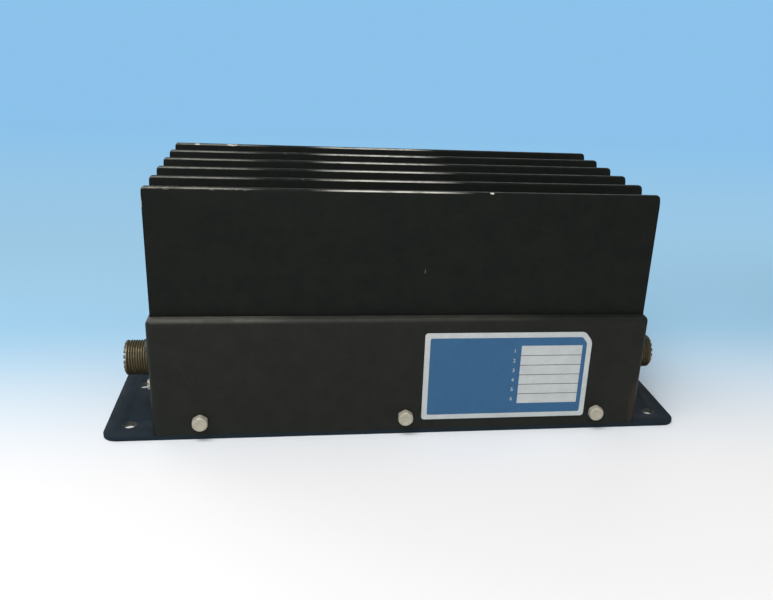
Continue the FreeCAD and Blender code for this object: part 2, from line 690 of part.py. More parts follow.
def socket_fixings(side):
    """Screws through a socket's flange and the nuts inside the wall."""
    out = RIGHT * side
    bore = SOCKET_SCREW + 2 * THREAD_GAP
    screws, nuts = [], []
    for offset_y, offset_z in socket_screw_offsets():
        place = socket_seat(side) + Vector(0, offset_y, offset_z)
        head_seat = place + out * SOCKET_FLANGE_THICKNESS
        screws.append(slotted_screw(SOCKET_SCREW, SOCKET_SCREW_LENGTH, head_seat, -out))
        nuts.append(nut(SOCKET_NUT_FLATS, bore, place - out * BOX_WALL, -out, SOCKET_NUT_THICKNESS))
    return screws, nuts


def circuit_board():
    """Board below the heat sink, cut out round the parts that bolt to the sink."""
    board = block(-BOARD_X, BOARD_X, -BOARD_Y, BOARD_Y, BOARD_FACE, BOARD_TOP)
    low, high = BOARD_FACE - OVERSHOOT, BOARD_TOP + OVERSHOOT
    for y in TRANSISTOR_YS:
        half_x = TRANSISTOR_FLANGE_WIDTH / 2 + CUT_OUT_GAP
        half_y = TRANSISTOR_FLANGE_LENGTH / 2 + CUT_OUT_GAP
        board = board.cut(block(-half_x, half_x, y - half_y, y + half_y, low, high))
        half = TRANSISTOR_CAP / 2 + CUT_OUT_GAP
        board = board.cut(block(-half, half, y - half, y + half, low, high))
    half_x = BIAS_WIDTH / 2 + CUT_OUT_GAP
    half_y = BIAS_LENGTH / 2 + CUT_OUT_GAP
    near_y, far_y = BIAS_Y - half_y, BIAS_Y + half_y
    board = board.cut(block(BIAS_X - half_x, BIAS_X + half_x, near_y, far_y, low, high))
    for x, y in SPACER_PLACES:
        board = drill(board, BOARD_SCREW + SCREW_PASS_GAP, Vector(x, y, BOARD_FACE), UP, BOARD_THICKNESS)
    return one(board)


def board_fixings():
    """Spacers between board and sink, and the screws through them."""
    bore = BOARD_SCREW + SCREW_PASS_GAP
    length = BOARD_THICKNESS + SPACER_LENGTH + BOARD_SCREW_DEPTH
    spacers, screws = [], []
    for x, y in SPACER_PLACES:
        spacers.append(ring(SPACER_DIAMETER, bore, Vector(x, y, BOARD_TOP), UP, SPACER_LENGTH))
        screws.append(slotted_screw(BOARD_SCREW, length, Vector(x, y, BOARD_FACE), UP))
    return spacers, screws


def power_transistors():
    """Flanges, ceramic caps, leads and screws of the RF transistors."""
    flanges, caps, leads, screws = [], [], [], []
    pass_hole = TRANSISTOR_SCREW + SCREW_PASS_GAP
    screw_length = TRANSISTOR_FLANGE_THICKNESS + BOARD_SCREW_DEPTH
    flange_face = BOX_TOP - TRANSISTOR_FLANGE_THICKNESS
    cap_face = flange_face - TRANSISTOR_CAP_THICKNESS
    lead_face = BOARD_FACE - TRANSISTOR_LEAD_THICKNESS
    half_x, half_y = TRANSISTOR_FLANGE_WIDTH / 2, TRANSISTOR_FLANGE_LENGTH / 2
    half_cap, half_lead = TRANSISTOR_CAP / 2, TRANSISTOR_LEAD_WIDTH / 2
    for y in TRANSISTOR_YS:
        flange = block(-half_x, half_x, y - half_y, y + half_y, flange_face, BOX_TOP)
        for side in (-1, 1):
            seat = Vector(0, y + side * TRANSISTOR_SCREW_STEP, flange_face)
            flange = drill(flange, pass_hole, seat, UP, TRANSISTOR_FLANGE_THICKNESS)
            screws.append(slotted_screw(TRANSISTOR_SCREW, screw_length, seat, UP))
            near, far = sorted((side * half_cap, side * LEAD_END_X))
            leads.append(block(near, far, y - half_lead, y + half_lead, lead_face, BOARD_FACE))
        flanges.append(one(flange))
        caps.append(block(-half_cap, half_cap, y - half_cap, y + half_cap, cap_face, flange_face))
    return flanges, caps, leads, screws


def bias_transistor():
    """Flat package on the sink with three leads that stand on the board, and its screw."""
    half_x, half_y = BIAS_WIDTH / 2, BIAS_LENGTH / 2
    face = BOX_TOP - BIAS_THICKNESS
    front = BIAS_Y - half_y
    package = block(BIAS_X - half_x, BIAS_X + half_x, front, BIAS_Y + half_y, face, BOX_TOP)
    foot, root = front - BIAS_LEAD_REACH, front + BIAS_LEAD_ROOT
    lead_top = face + BIAS_LEAD + SEAT_GAP
    for step in (-1, 0, 1):
        x = BIAS_X + step * BIAS_LEAD_PITCH
        low_x, high_x = x - BIAS_LEAD / 2, x + BIAS_LEAD / 2
        package = package.fuse(block(low_x, high_x, foot, root, lead_top - BIAS_LEAD, lead_top))
        package = package.fuse(block(low_x, high_x, foot, foot + BIAS_LEAD, BOARD_TOP, lead_top))
    seat = Vector(BIAS_X, BIAS_Y + BIAS_SCREW_OFFSET, face)
    package = drill(package, BOARD_SCREW + SCREW_PASS_GAP, seat, UP, BIAS_THICKNESS)
    return one(package), slotted_screw(BOARD_SCREW, BIAS_THICKNESS + BOARD_SCREW_DEPTH, seat, UP)


def trimmer_base(x, y):
    """Square ceramic block on the board with a pivot bore."""
    half = TRIMMER_BASE / 2
    low = BOARD_FACE - TRIMMER_BASE_THICKNESS
    base = block(x - half, x + half, y - half, y + half, low, BOARD_FACE)
    bore = TRIMMER_HUB + 2 * HINGE_RUNNING_GAP
    return base.cut(rod(bore, Vector(x, y, low), UP, TRIMMER_HUB_LENGTH + SEAT_GAP))


def trimmer_rotor(x, y):
    """Slotted disc whose hub turns in the base."""
    top = BOARD_FACE - TRIMMER_BASE_THICKNESS - TRIMMER_ROTOR_GAP
    low = top - TRIMMER_ROTOR_THICKNESS
    disc = rod(TRIMMER_ROTOR_DIAMETER, Vector(x, y, low), UP, TRIMMER_ROTOR_THICKNESS)
    hub = rod(TRIMMER_HUB, Vector(x, y, top), UP, TRIMMER_ROTOR_GAP + TRIMMER_HUB_LENGTH)
    reach = TRIMMER_ROTOR_DIAMETER / 2 + OVERSHOOT
    half = TRIMMER_SLOT_WIDTH / 2
    slot = block(x - reach, x + reach, y - half, y + half, low - OVERSHOOT, low + TRIMMER_SLOT_DEPTH)
    return one(disc.fuse(hub).cut(slot))


def transformer(centre_x, sleeve, length, bore, spacing):
    """Two ferrite sleeves on two metal tubes between two end plates."""
    axis_z = BOARD_FACE - TRANSFORMER_LIFT - sleeve / 2
    tube = bore - 2 * THREAD_GAP
    reach = length / 2 + END_PLATE_THICKNESS + TUBE_PROUD
    sleeves, tubes = [], []
    for side in (-1, 1):
        y = side * spacing / 2
        sleeves.append(ring(sleeve, bore, Vector(centre_x - length / 2, y, axis_z), RIGHT, length))
        tube_start = Vector(centre_x - reach, y, axis_z)
        tubes.append(ring(tube, tube - 2 * TUBE_WALL, tube_start, RIGHT, 2 * reach))
    plates = []
    half_y = spacing / 2 + sleeve / 2
    for side in (-1, 1):
        near, far = sorted((side * length / 2, side * (length / 2 + END_PLATE_THICKNESS)))
        low_z = axis_z - sleeve / 2
        plate = block(centre_x + near, centre_x + far, -half_y, half_y, low_z, BOARD_FACE)
        for y in (-spacing / 2, spacing / 2):
            start = Vector(centre_x + near, y, axis_z)
            plate = drill(plate, bore, start, RIGHT, END_PLATE_THICKNESS)
        plates.append(one(plate))
    return sleeves, tubes, plates


def output_winding():
    """Wire through both tubes of the output transformer, its ends rising to the board."""
    y = OUTPUT_SLEEVE_SPACING / 2
    z = BOARD_FACE - TRANSFORMER_LIFT - OUTPUT_SLEEVE / 2
    left = TRANSFORMER_X - WINDING_LEFT_REACH
    right = TRANSFORMER_X + WINDING_RIGHT_REACH
    points = [
        Vector(right, -y, BOARD_FACE),
        Vector(right, -y, z),
        Vector(left, -y, z),
        Vector(left, y, z),
        Vector(right, y, z),
        Vector(right, y, BOARD_FACE),
    ]
    return cable("output winding", points, WINDING_WIRE)


def axial_part(x, y, along, diameter, length):
    """A cylinder lying under the board, its two leads bent up to the board."""
    z = BOARD_FACE - AXIAL_LIFT - diameter / 2
    centre = Vector(x, y, z)
    part = rod(diameter, centre - along * (length / 2), along, length)
    for side in (-1, 1):
        out = along * side
        part = part.fuse(rod(AXIAL_LEAD, centre + out * (length / 2), out, LEAD_REACH))
        corner = centre + out * (length / 2 + LEAD_REACH - AXIAL_LEAD / 2)
        part = part.fuse(rod(AXIAL_LEAD, corner, UP, BOARD_FACE - z))
    return one(part)


def disc_capacitor(x, y):
    """A thin disc that stands off the board on two leads."""
    z = BOARD_FACE - DISC_LEAD_LENGTH - DISC_DIAMETER / 2
    disc = rod(DISC_DIAMETER, Vector(x - DISC_THICKNESS / 2, y, z), RIGHT, DISC_THICKNESS)
    for side in (-1, 1):
        foot = Vector(x, y + side * DISC_LEAD_SPACING / 2, z)
        disc = disc.fuse(rod(DISC_LEAD, foot, UP, BOARD_FACE - z))
    return one(disc)


def clad_capacitor(x, y):
    """A flat metal-clad block on the board."""
    half_x, half_y = CLAD_LENGTH / 2, CLAD_WIDTH / 2
    low_z = BOARD_FACE - CLAD_THICKNESS
    return block(x - half_x, x + half_x, y - half_y, y + half_y, low_z, BOARD_FACE)


def below(drop):
    """Height of a point that lies so far below the board's face."""
    return BOARD_FACE - drop


def relay_base():
    """Moulded base on the board's face."""
    centre, half = RELAY_X + RELAY_BASE_OFFSET, RELAY_BASE_LENGTH / 2
    near, far = RELAY_Y - RELAY_BASE_WIDTH / 2, RELAY_Y + RELAY_BASE_WIDTH / 2
    return block(centre - half, centre + half, near, far, below(RELAY_BASE_THICKNESS), BOARD_FACE)


def relay_yoke():
    """Bent iron frame with a foot on the base and two ears that hold the hinge pin."""
    near, far = RELAY_Y - YOKE_WIDTH / 2, RELAY_Y + YOKE_WIDTH / 2
    top, end_drop = below(RELAY_BASE_THICKNESS), CORE_END - YOKE_SET_BACK
    foot = block(RELAY_BACK_X, RELAY_X + YOKE_FOOT_FORWARD, near, far, below(RELAY_FOOT_DROP), top)
    upright = block(RELAY_BACK_X, RELAY_BACK_X + YOKE_SHEET, near, far, below(end_drop), top)
    yoke = foot.fuse(upright)
    ear_from, ear_to = RELAY_PIN_X - YOKE_EAR_LENGTH / 2, RELAY_PIN_X + YOKE_EAR_LENGTH / 2
    low_z, high_z = below(RELAY_PIN_DROP + YOKE_EAR_BACK), below(end_drop - YOKE_EAR_OVERLAP)
    for ear_near in (near, far - YOKE_SHEET):
        yoke = yoke.fuse(block(ear_from, ear_to, ear_near, ear_near + YOKE_SHEET, low_z, high_z))
    pin_start = Vector(RELAY_PIN_X, near, below(RELAY_PIN_DROP))
    return one(drill(yoke, HINGE_PIN + 2 * THREAD_GAP, pin_start, BACK, YOKE_WIDTH))


def relay_hinge_pin():
    """Pin through both ears of the yoke."""
    start = Vector(RELAY_PIN_X, RELAY_Y - YOKE_WIDTH / 2, below(RELAY_PIN_DROP))
    return rod(HINGE_PIN, start, BACK, YOKE_WIDTH)


def relay_core():
    """Iron core on the yoke's foot."""
    return rod(CORE_DIAMETER, Vector(RELAY_X, RELAY_Y, below(CORE_END)), UP, CORE_END - RELAY_FOOT_DROP)


def relay_coil():
    """Wound sleeve round the core."""
    end_drop = CORE_END - COIL_BOBBIN_SET_BACK
    start = Vector(RELAY_X, RELAY_Y, below(end_drop))
    length = end_drop - RELAY_FOOT_DROP - COIL_BOBBIN_GAP
    return ring(COIL_BOBBIN_DIAMETER, CORE_DIAMETER + 2 * COIL_BOBBIN_GAP, start, UP, length)


def relay_armature():
    """Flat arm that turns on the hinge pin, open by its rest gap."""
    near, far = RELAY_Y - ARMATURE_WIDTH / 2, RELAY_Y + ARMATURE_WIDTH / 2
    low_z, high_z = below(ARMATURE_TOP_DROP + ARMATURE_SHEET), below(ARMATURE_TOP_DROP)
    arm = block(RELAY_PIN_X, ARMATURE_TIP_X, near, far, low_z, high_z)
    start = Vector(RELAY_PIN_X, near, below(RELAY_PIN_DROP))
    arm = arm.fuse(rod(2 * ARMATURE_BARREL_RADIUS, start, BACK, ARMATURE_WIDTH))
    return one(drill(arm, HINGE_PIN + 2 * HINGE_RUNNING_GAP, start, BACK, ARMATURE_WIDTH))


def relay_contact_fork():
    """Post with two contact arms, just clear of the armature's tip at both ends of its travel."""
    post_x = ARMATURE_TIP_X + FORK_POST_GAP
    near, far = RELAY_Y - FORK_WIDTH / 2, RELAY_Y + FORK_WIDTH / 2
    rise = (ARMATURE_TIP_X - RELAY_PIN_X) * math.sin(math.radians(ARMATURE_TRAVEL_DEG))
    rest_stop = ARMATURE_TOP_DROP + ARMATURE_SHEET + FORK_GAP
    made_stop = ARMATURE_TOP_DROP - rise - FORK_GAP
    low_z, high_z = below(rest_stop + FORK_ARM), below(RELAY_BASE_THICKNESS)
    fork = block(post_x, post_x + FORK_POST, near, far, low_z, high_z)
    arm_from, arm_to = post_x - FORK_ARM_LENGTH, post_x + FORK_POST / 2
    for drop in (rest_stop, made_stop - FORK_ARM):
        fork = fork.fuse(block(arm_from, arm_to, near, far, below(drop + FORK_ARM), below(drop)))
    return one(fork)


def coax_link(side):
    """Thin coaxial cable from a socket's contact to its landing on the board."""
    start_x = side * (END_X - SOCKET_BOSS_LENGTH - CONTACT_TAIL_LENGTH)
    landing_x = side * (BOARD_X - COAX_LANDING_INSET)
    points = [
        Vector(start_x, SOCKET_Y, SOCKET_HEIGHT),
        Vector(start_x - side * COAX_RUN_IN, SOCKET_Y, SOCKET_HEIGHT),
        Vector(landing_x, 0, SOCKET_HEIGHT + COAX_RISE),
        Vector(landing_x, 0, BOARD_FACE),
    ]
    return cable("coax", points, COAX_DIAMETER)


def terminal_xs():
    """The two terminals' places along the rear wall."""
    return [TERMINAL_X - TERMINAL_PITCH / 2, TERMINAL_X + TERMINAL_PITCH / 2]


def block_screw_xs():
    """The places of the terminal block's two mounting screws."""
    reach = TERMINAL_PITCH + TERMINAL_EAR / 2
    return [TERMINAL_X - reach, TERMINAL_X + reach]


def supply_wires():
    """Two wires from the terminal pins to the board."""
    wires = []
    z = TERMINAL_PIN_Z
    start_y = INNER_Y - TERMINAL_PIN_REACH
    landing_y = BOARD_Y - SUPPLY_LANDING_INSET
    for x in terminal_xs():
        points = [
            Vector(x, start_y, z),
            Vector(x, start_y - SUPPLY_RUN_IN, z),
            Vector(x, landing_y, z + SUPPLY_RISE),
            Vector(x, landing_y, BOARD_FACE),
        ]
        wires.append(cable("supply wire", points, SUPPLY_WIRE))
    return wires


def terminal_body():
    """Moulded body with three barriers."""
    half_z = TERMINAL_BODY_HEIGHT / 2
    low_z, high_z = TERMINAL_HEIGHT - half_z, TERMINAL_HEIGHT + half_z
    reach = TERMINAL_PITCH + TERMINAL_EAR
    body = block(TERMINAL_X - reach, TERMINAL_X + reach, REAR_Y, TERMINAL_FACE_Y, low_z, high_z)
    for step in (-1, 0, 1):
        x = TERMINAL_X + step * TERMINAL_PITCH
        half = TERMINAL_BARRIER / 2
        rib_face = TERMINAL_FACE_Y + TERMINAL_BARRIER_RISE
        body = body.fuse(block(x - half, x + half, REAR_Y, rib_face, low_z, high_z))
    screw_end = TERMINAL_FACE_Y + TERMINAL_STRAP_THICKNESS - TERMINAL_SCREW_LENGTH - SEAT_GAP
    thread_depth = TERMINAL_FACE_Y - screw_end + OVERSHOOT
    for x in terminal_xs():
        pin_hole = Vector(x, REAR_Y, TERMINAL_PIN_Z)
        body = drill(body, TERMINAL_PIN + 2 * THREAD_GAP, pin_hole, BACK, TERMINAL_BODY_DEPTH)
        thread = Vector(x, screw_end, TERMINAL_SCREW_Z)
        body = body.cut(rod(TERMINAL_SCREW + 2 * THREAD_GAP, thread, BACK, thread_depth))
    for x in block_screw_xs():
        pass_hole = Vector(x, REAR_Y, TERMINAL_HEIGHT)
        body = drill(body, BLOCK_SCREW + SCREW_PASS_GAP, pass_hole, BACK, TERMINAL_BODY_DEPTH)
    return one(body)


def terminal_strap(x):
    """Metal strap on the body's face with a pin through the body and the wall."""
    half_x, half_z = TERMINAL_STRAP_WIDTH / 2, TERMINAL_STRAP_HEIGHT / 2
    face = TERMINAL_FACE_Y
    low_z, high_z = TERMINAL_HEIGHT - half_z, TERMINAL_HEIGHT + half_z
    strap = block(x - half_x, x + half_x, face, face + TERMINAL_STRAP_THICKNESS, low_z, high_z)
    inner_end = INNER_Y - TERMINAL_PIN_REACH
    pin = rod(TERMINAL_PIN, Vector(x, inner_end, TERMINAL_PIN_Z), BACK, face - inner_end + SEAT_GAP)
    hole = Vector(x, face, TERMINAL_SCREW_Z)
    bore = TERMINAL_SCREW + 2 * THREAD_GAP
    return one(drill(strap.fuse(pin), bore, hole, BACK, TERMINAL_STRAP_THICKNESS))


def terminal_screw(x):
    """Screw that clamps a supply lead on its strap."""
    seat = Vector(x, TERMINAL_FACE_Y + TERMINAL_STRAP_THICKNESS, TERMINAL_SCREW_Z)
    return slotted_screw(TERMINAL_SCREW, TERMINAL_SCREW_LENGTH, seat, -BACK)


def block_screw(x):
    """Screw through one ear of the block and the rear wall."""
    seat = Vector(x, TERMINAL_FACE_Y, TERMINAL_HEIGHT)
    return slotted_screw(BLOCK_SCREW, BLOCK_SCREW_LENGTH, seat, -BACK)


def block_nut(x):
    """Nut inside the rear wall on one of the block's screws."""
    start = Vector(x, INNER_Y, TERMINAL_HEIGHT)
    return nut(SOCKET_NUT_FLATS, BLOCK_SCREW + 2 * THREAD_GAP, start, -BACK, BLOCK_NUT_THICKNESS)


def save_case():
    """Casing pieces and their screws."""
    save("chassis_box", chassis_box())
    save("heat_sink", heat_sink())
    save("base_plate", base_plate())
    save("front_cover_rail", cover_rail(-1))
    save("rear_cover_rail", cover_rail(1))
    save("front_cover_screws", cover_screws(-1))
    save("rear_cover_screws", cover_screws(1))
    save("nameplate", nameplate())
    length = BOX_WALL + RIM_SCREW_DEPTH
    save("heat_sink_screws", [
        slotted_screw(RIM_SCREW, length, Vector(x, y, RIM_UNDERSIDE), UP) for x, y in RIM_SCREW_PLACES
    ])


def save_sockets():
    """Both coaxial sockets and their links to the board."""
    for name, side in (("input", -1), ("output", 1)):
        insulator, contact = socket_core(side)
        screws, nuts = socket_fixings(side)
        save(name + "_socket_shell", socket_shell(side))
        save(name + "_socket_insulator", insulator)
        save(name + "_socket_contact", contact)
        save(name + "_socket_screws", screws)
        save(name + "_socket_nuts", nuts)
        save(name + "_coax_link", coax_link(side))


def save_board():
    """Circuit board, its fixings and the transistors that bolt to the sink."""
    save("circuit_board", circuit_board())
    spacers, screws = board_fixings()
    save("board_spacers", spacers)
    save("board_screws", screws)
    flanges, caps, leads, screws = power_transistors()
    package, bias_screw = bias_transistor()
    save("transistor_flanges", flanges)
    save("transistor_caps", caps)
    save("transistor_leads", leads)
    save("bias_transistor", package)
    save("transistor_screws", screws + [bias_screw])


def save_tuning():
    """Trimmers and air-wound coils."""
    save("trimmer_bases", [trimmer_base(x, y) for x, y in TRIMMER_PLACES])
    for number, (x, y) in enumerate(TRIMMER_PLACES, start=1):
        save("trimmer_rotor_" + str(number), trimmer_rotor(x, y))
    coil_z = BOARD_FACE - COIL_MEAN_RADIUS - COIL_WIRE
    save("tuning_coils", [
        wound_coil(Vector(x, 0, coil_z), COIL_MEAN_RADIUS, COIL_WIRE, COIL_PITCH, COIL_TURNS, BOARD_FACE)
        for x in (-COIL_X, COIL_X)
    ])


def save_small_components():
    """Capacitors, resistors and chokes on the board."""
    save("electrolytic_capacitor", axial_part(
        ELECTROLYTIC_X, ELECTROLYTIC_Y, RIGHT, ELECTROLYTIC_DIAMETER, ELECTROLYTIC_LENGTH,
    ))
    near = [
        axial_part(x, 0, BACK, RESISTOR_DIAMETER, RESISTOR_LENGTH)
        for x in (-RESISTOR_NEAR_X, RESISTOR_NEAR_X)
    ]
    far = [
        axial_part(x, y, RIGHT, RESISTOR_DIAMETER, RESISTOR_LENGTH)
        for x in (-TRIMMER_X, TRIMMER_X)
        for y in (-RESISTOR_FAR_Y, RESISTOR_FAR_Y)
    ]
    save("resistors", near + far)
    save("bead_chokes", [
        axial_part(CHOKE_X, CHOKE_Y - step * CHOKE_Y_STEP, RIGHT, CHOKE_DIAMETER, CHOKE_LENGTH)
        for step in (0, 1)
    ])
    save("disc_capacitors", [
        disc_capacitor(x, y) for x in (-DISC_X, DISC_X) for y in (-DISC_Y, DISC_Y)
    ])
    save("clad_capacitors", [
        clad_capacitor(x, y) for x in (-CLAD_X, CLAD_X) for y in (-CLAD_Y, CLAD_Y)
    ])


def save_transformers():
    """Input and output ferrite transformers."""
    input_parts = transformer(
        -TRANSFORMER_X, INPUT_SLEEVE, INPUT_SLEEVE_LENGTH, INPUT_SLEEVE_BORE, INPUT_SLEEVE_SPACING,
    )
    output_parts = transformer(
        TRANSFORMER_X, OUTPUT_SLEEVE, OUTPUT_SLEEVE_LENGTH, OUTPUT_SLEEVE_BORE, OUTPUT_SLEEVE_SPACING,
    )
    for name, (sleeves, tubes, _) in (("input", input_parts), ("output", output_parts)):
        save(name + "_transformer_sleeves", sleeves)
        save(name + "_transformer_tubes", tubes)
    save("transformer_end_plates", input_parts[2] + output_parts[2])
    save("output_transformer_winding", output_winding())


def save_relay():
    """Transmit and receive relay."""
    save("relay_base", relay_base())
    save("relay_yoke", relay_yoke())
    save("relay_hinge_pin", relay_hinge_pin())
    save("relay_core", relay_core())
    save("relay_coil", relay_coil())
    save("relay_armature", relay_armature())
    save("relay_contact_fork", relay_contact_fork())


def save_supply():
    """Terminal block, its hardware and the wires behind it."""
    save("terminal_block_body", terminal_body())
    save("terminal_straps", [terminal_strap(x) for x in terminal_xs()])
    save("terminal_screws", [terminal_screw(x) for x in terminal_xs()])
    save("terminal_block_screws", [block_screw(x) for x in block_screw_xs()])
    save("terminal_block_nuts", [block_nut(x) for x in block_screw_xs()])
    save("supply_wires", supply_wires())


def main():
    """Build and write every sub-part."""
    save_case()
    save_sockets()
    save_board()
    save_tuning()
    save_small_components()
    save_transformers()
    save_relay()
    save_supply()


main()
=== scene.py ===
"""Looks of a finned RF power amplifier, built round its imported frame.

The outside pieces are modelled again with their rounded edges, threads and wear, and stand for
their CAD nodes. The CAD nodes that stay get a finish of their own. Sizes are in metres.
"""

import logging
import math
import random
from abc import ABC, abstractmethod
from collections.abc import Callable, Iterator, Sequence
from contextlib import contextmanager
from dataclasses import dataclass
from enum import Enum
from functools import cache, reduce

import bmesh
import bpy
from mathutils import Euler, Matrix, Vector


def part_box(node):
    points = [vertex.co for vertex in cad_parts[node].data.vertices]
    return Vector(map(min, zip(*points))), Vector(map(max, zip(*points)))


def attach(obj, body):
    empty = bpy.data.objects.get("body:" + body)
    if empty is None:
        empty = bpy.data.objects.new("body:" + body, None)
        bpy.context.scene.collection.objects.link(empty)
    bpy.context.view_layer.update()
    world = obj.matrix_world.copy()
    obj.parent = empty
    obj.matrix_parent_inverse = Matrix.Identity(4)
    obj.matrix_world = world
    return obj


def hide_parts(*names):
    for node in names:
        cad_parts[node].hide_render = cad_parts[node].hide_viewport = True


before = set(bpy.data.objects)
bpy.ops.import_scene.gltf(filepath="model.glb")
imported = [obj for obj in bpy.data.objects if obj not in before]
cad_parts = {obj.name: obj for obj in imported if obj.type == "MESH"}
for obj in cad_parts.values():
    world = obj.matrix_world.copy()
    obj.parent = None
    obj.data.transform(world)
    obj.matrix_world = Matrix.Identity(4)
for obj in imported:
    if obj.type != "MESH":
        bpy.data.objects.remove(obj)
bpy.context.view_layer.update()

log = logging.getLogger("amplifier")

MM = 0.001
MERGE = 0.002 * MM
NEAR = 0.01 * MM
OVERSHOOT = 1.0 * MM

X = Vector((1.0, 0.0, 0.0))
Y = Vector((0.0, 1.0, 0.0))
Z = Vector((0.0, 0.0, 1.0))

Rgb = tuple[float, float, float]
Box = tuple[Vector, Vector]
Socket = bpy.types.NodeSocket

DUST: Rgb = (0.32, 0.31, 0.28)


class Pick(Enum):
    """What is picked in edit mode."""

    CORNERS = "VERT"
    EDGES = "EDGE"
    FACES = "FACE"


class Cut(Enum):
    """How a tool changes the blank that it is put into."""

    AWAY = "DIFFERENCE"
    COMMON = "INTERSECT"


class End(Enum):
    """The case's two ends, each with a coaxial socket."""

    INPUT = -1
    OUTPUT = 1


def rgba(colour: Rgb) -> tuple[float, float, float, float]:
    """The colour with full opacity."""
    return (*colour, 1.0)


def mm(*sizes: float) -> tuple[float, ...]:
    """Sizes that are given in millimetres, in metres."""
    return tuple(size * MM for size in sizes)


def facing(way: Vector, side: str = "Z") -> Euler:
    """The turn that points one side of an object along a way."""
    return way.to_track_quat(side, "Y").to_euler()


def deselect() -> None:
    """Deselect every object."""
    bpy.ops.object.select_all(action="DESELECT")


def only(obj: bpy.types.Object) -> None:
    """Make one object the only selected one, and the active one."""
    deselect()
    obj.select_set(True)
    bpy.context.view_layer.objects.active = obj


def middle(part: bmesh.types.BMEdge | bmesh.types.BMFace) -> Vector:
    """The middle of an edge or a face."""
    if isinstance(part, bmesh.types.BMEdge):
        return (part.verts[0].co + part.verts[1].co) / 2
    return part.calc_center_median()


def runs(edge: bmesh.types.BMEdge, axis: Vector) -> bool:
    """True for an edge that is parallel to an axis."""
    way = edge.verts[1].co - edge.verts[0].co
    return way.length > 0 and way.normalized().cross(axis).length < 1e-3


def near(first: float, second: float) -> bool:
    """True for two lengths that are the same but for rounding."""
    return abs(first - second) < NEAR


def solids(node: str) -> list[Box]:
    """Find the separate solids of a CAD node.

    Args:
        node: The CAD node's name.

    Returns:
        The lowest and highest corner of each solid, from left to right.
    """
    mesh = bmesh.new()
    mesh.from_mesh(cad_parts[node].data)
    bmesh.ops.remove_doubles(mesh, verts=mesh.verts, dist=MERGE)
    boxes, seen = [], set()
    for start in mesh.verts:
        if start in seen:
            continue
        seen.add(start)
        waiting, corners = [start], []
        while waiting:
            corner = waiting.pop()
            corners.append(corner.co.copy())
            for edge in corner.link_edges:
                other = edge.other_vert(corner)
                if other not in seen:
                    seen.add(other)
                    waiting.append(other)
        low = Vector(min(c[i] for c in corners) for i in range(3))
        high = Vector(max(c[i] for c in corners) for i in range(3))
        boxes.append((low, high))
    mesh.free()
    return sorted(boxes, key=lambda box: [round(value, 5) for value in box[0]])


def centre(box: Box) -> Vector:
    """The middle of a box."""
    return (box[0] + box[1]) / 2


